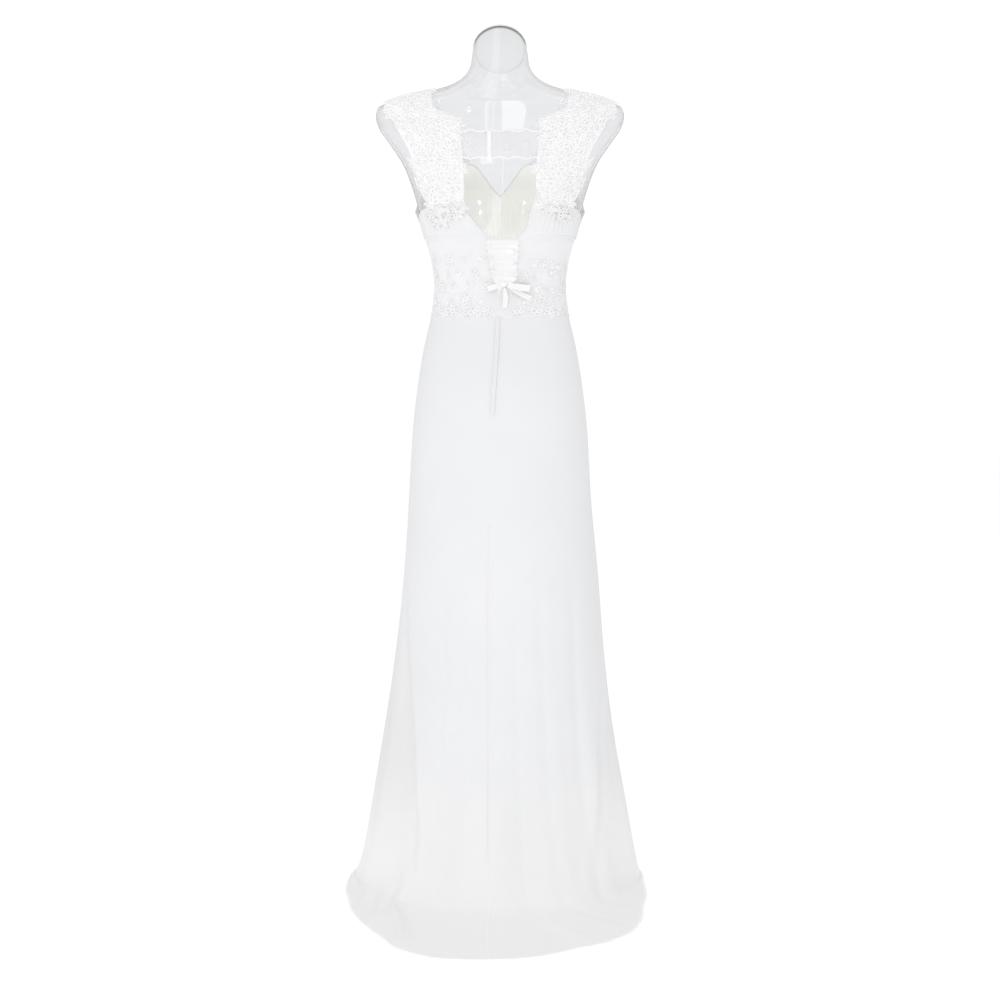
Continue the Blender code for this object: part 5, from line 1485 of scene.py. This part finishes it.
def makePlacket(settings):
    step = skirtSettings["turnStep"]
    panels = fineSkirt(np.array([-step, 0.0, step]))[settings["fromRow"]:]
    heights = np.linspace(settings["foot"], settings["head"], 60)
    lines = np.stack([[np.interp(heights, panels[:, column, 2], panels[:, column, axis]) for axis in range(3)]
                      for column in range(3)]).transpose(2, 0, 1)
    normals = gridNormals(lines)[:, 1]
    toRight = unit(lines[:, 2] - lines[:, 0])
    end = eased((heights - settings["foot"]) / 0.012)
    columns = []
    for part in np.linspace(-1.0, 1.0, 13):
        lip = settings["lip"] * (1 - bump(part, 0.22)) * eased((1 - abs(part)) / 0.35)
        away = clothWall + layerGap + seamGap / 2 + settings["proud"] + lip * end
        aside = settings["half"] * part * (0.4 + 0.6 * end)
        columns.append(lines[:, 1] + normals * away[:, None] + toRight * aside[:, None])
    clothPiece("zipPlacket", np.stack(columns, axis=1), settings["wall"], chiffon, "chiffon", "zip_placket")


makePlacket(placketSettings)
print("placket done")
# floor, light and camera
deselectAll()
bpy.ops.mesh.primitive_grid_add(x_subdivisions=40, y_subdivisions=40, size=14.0, location=(0, 0, 0))
floor = bpy.context.active_object
floor.name = "studioFloor"
floor.data.transform(Matrix.Translation((0, 0, -0.0005)))
floorMaterial, floorTree, floorShader, floorCoords = startMaterial("paleFloor")
floorTone = mottled(floorTree, floorCoords["Object"], 1.5, grey(0.96), grey(0.95))
feed(floorTree, floorShader, {"Base Color": floorTone, "Roughness": 0.9, "Emission Color": grey(1.0),
                              "Emission Strength": 0.27})
floor.data.materials.append(floorMaterial)

# the room is brightest to the camera, and a little darker through the clear form
world = bpy.data.worlds.new("softStudio")
bpy.context.scene.world = world
world.use_nodes = True
worldTree = world.node_tree
feed(worldTree, worldTree.nodes["Background"], {"Color": grey(1.0), "Strength": 0.76})
seen, through = [node(worldTree, "Background", grey(1.0), strength) for strength in (1.05, 0.87)]
path = node(worldTree, "LightPath").outputs
first = node(worldTree, "MixShader", path["Is Transmission Ray"], worldTree.nodes["Background"], through)
second = node(worldTree, "MixShader", path["Is Camera Ray"], first, seen)
feed(worldTree, worldTree.nodes["World Output"], {"Surface": second})

# the lamps (name, place, aim, width, height, power)
lightRows = (
    ("frontSoftbox", (-1.0, -3.4, 2.0), (0.0, 0.0, 0.8), 1.8, 2.4, 17.0),
    ("topSoftbox", (0.0, -0.9, 3.9), (0.0, 0.0, 0.0), 3.0, 3.0, 10.0),
    ("windowStrip", (0.092, -1.27, 3.48), (0.092, -0.08, 1.32), 0.165, 1.50, 1.25),
    ("narrowStrip", (-0.080, -1.27, 3.48), (-0.080, -0.08, 1.32), 0.026, 1.50, 0.15),
    ("narrowStripTwo", (-0.033, -1.27, 3.48), (-0.033, -0.08, 1.32), 0.010, 1.50, 0.05),
    ("neckStrip", (0.47, -2.43, 2.05), (0.01, -0.065, 1.374), 0.18, 0.40, 0.09),
    ("neckStripTwo", (-0.48, -2.44, 1.97), (-0.013, -0.066, 1.369), 0.18, 0.30, 0.06),
    ("smallLampLeft", (-0.22, -0.67, 3.75), (-0.05, -0.08, 1.32), 0.022, 0.022, 0.06),
    ("smallLampRight", (0.26, -0.55, 3.77), (0.06, -0.08, 1.32), 0.05, 0.05, 0.3),
    ("lowLampLeft", (-0.38, -2.31, 0.06), (-0.03, -0.09, 1.16), 0.05, 0.09, 0.25),
    ("lowLampRight", (0.48, -2.29, 0.06), (0.04, -0.09, 1.16), 0.05, 0.09, 0.25),
)
for name, place, target, wide, tall, power in lightRows:
    lamp = bpy.data.lights.new(name, "AREA")
    lamp.shape = "RECTANGLE"
    lamp.size, lamp.size_y = wide, tall
    lamp.energy = power
    box = bpy.data.objects.new(name, lamp)
    box.location = place
    box.visible_camera = False
    # the two large ones only light the cloth
    box.visible_glossy = not name.endswith("Softbox")
    box.rotation_euler = (Vector(target) - Vector(place)).to_track_quat("-Z", "Y").to_euler()
    bpy.context.scene.collection.objects.link(box)

cameraSettings = {"place": (0.0, -3.5, 1.12), "pitch": -7.27, "lens": 74.016}
cameraData = bpy.data.cameras.new("photoCamera")
cameraData.sensor_width = 36.0
cameraData.lens = cameraSettings["lens"]
camera = bpy.data.objects.new("photoCamera", cameraData)
camera.location = cameraSettings["place"]
camera.rotation_euler = (math.radians(90.0 + cameraSettings["pitch"]), 0.0, 0.0)
bpy.context.scene.collection.objects.link(camera)
bpy.context.scene.camera = camera
bpy.context.scene.view_settings.view_transform = "Standard"
print("light and camera done")
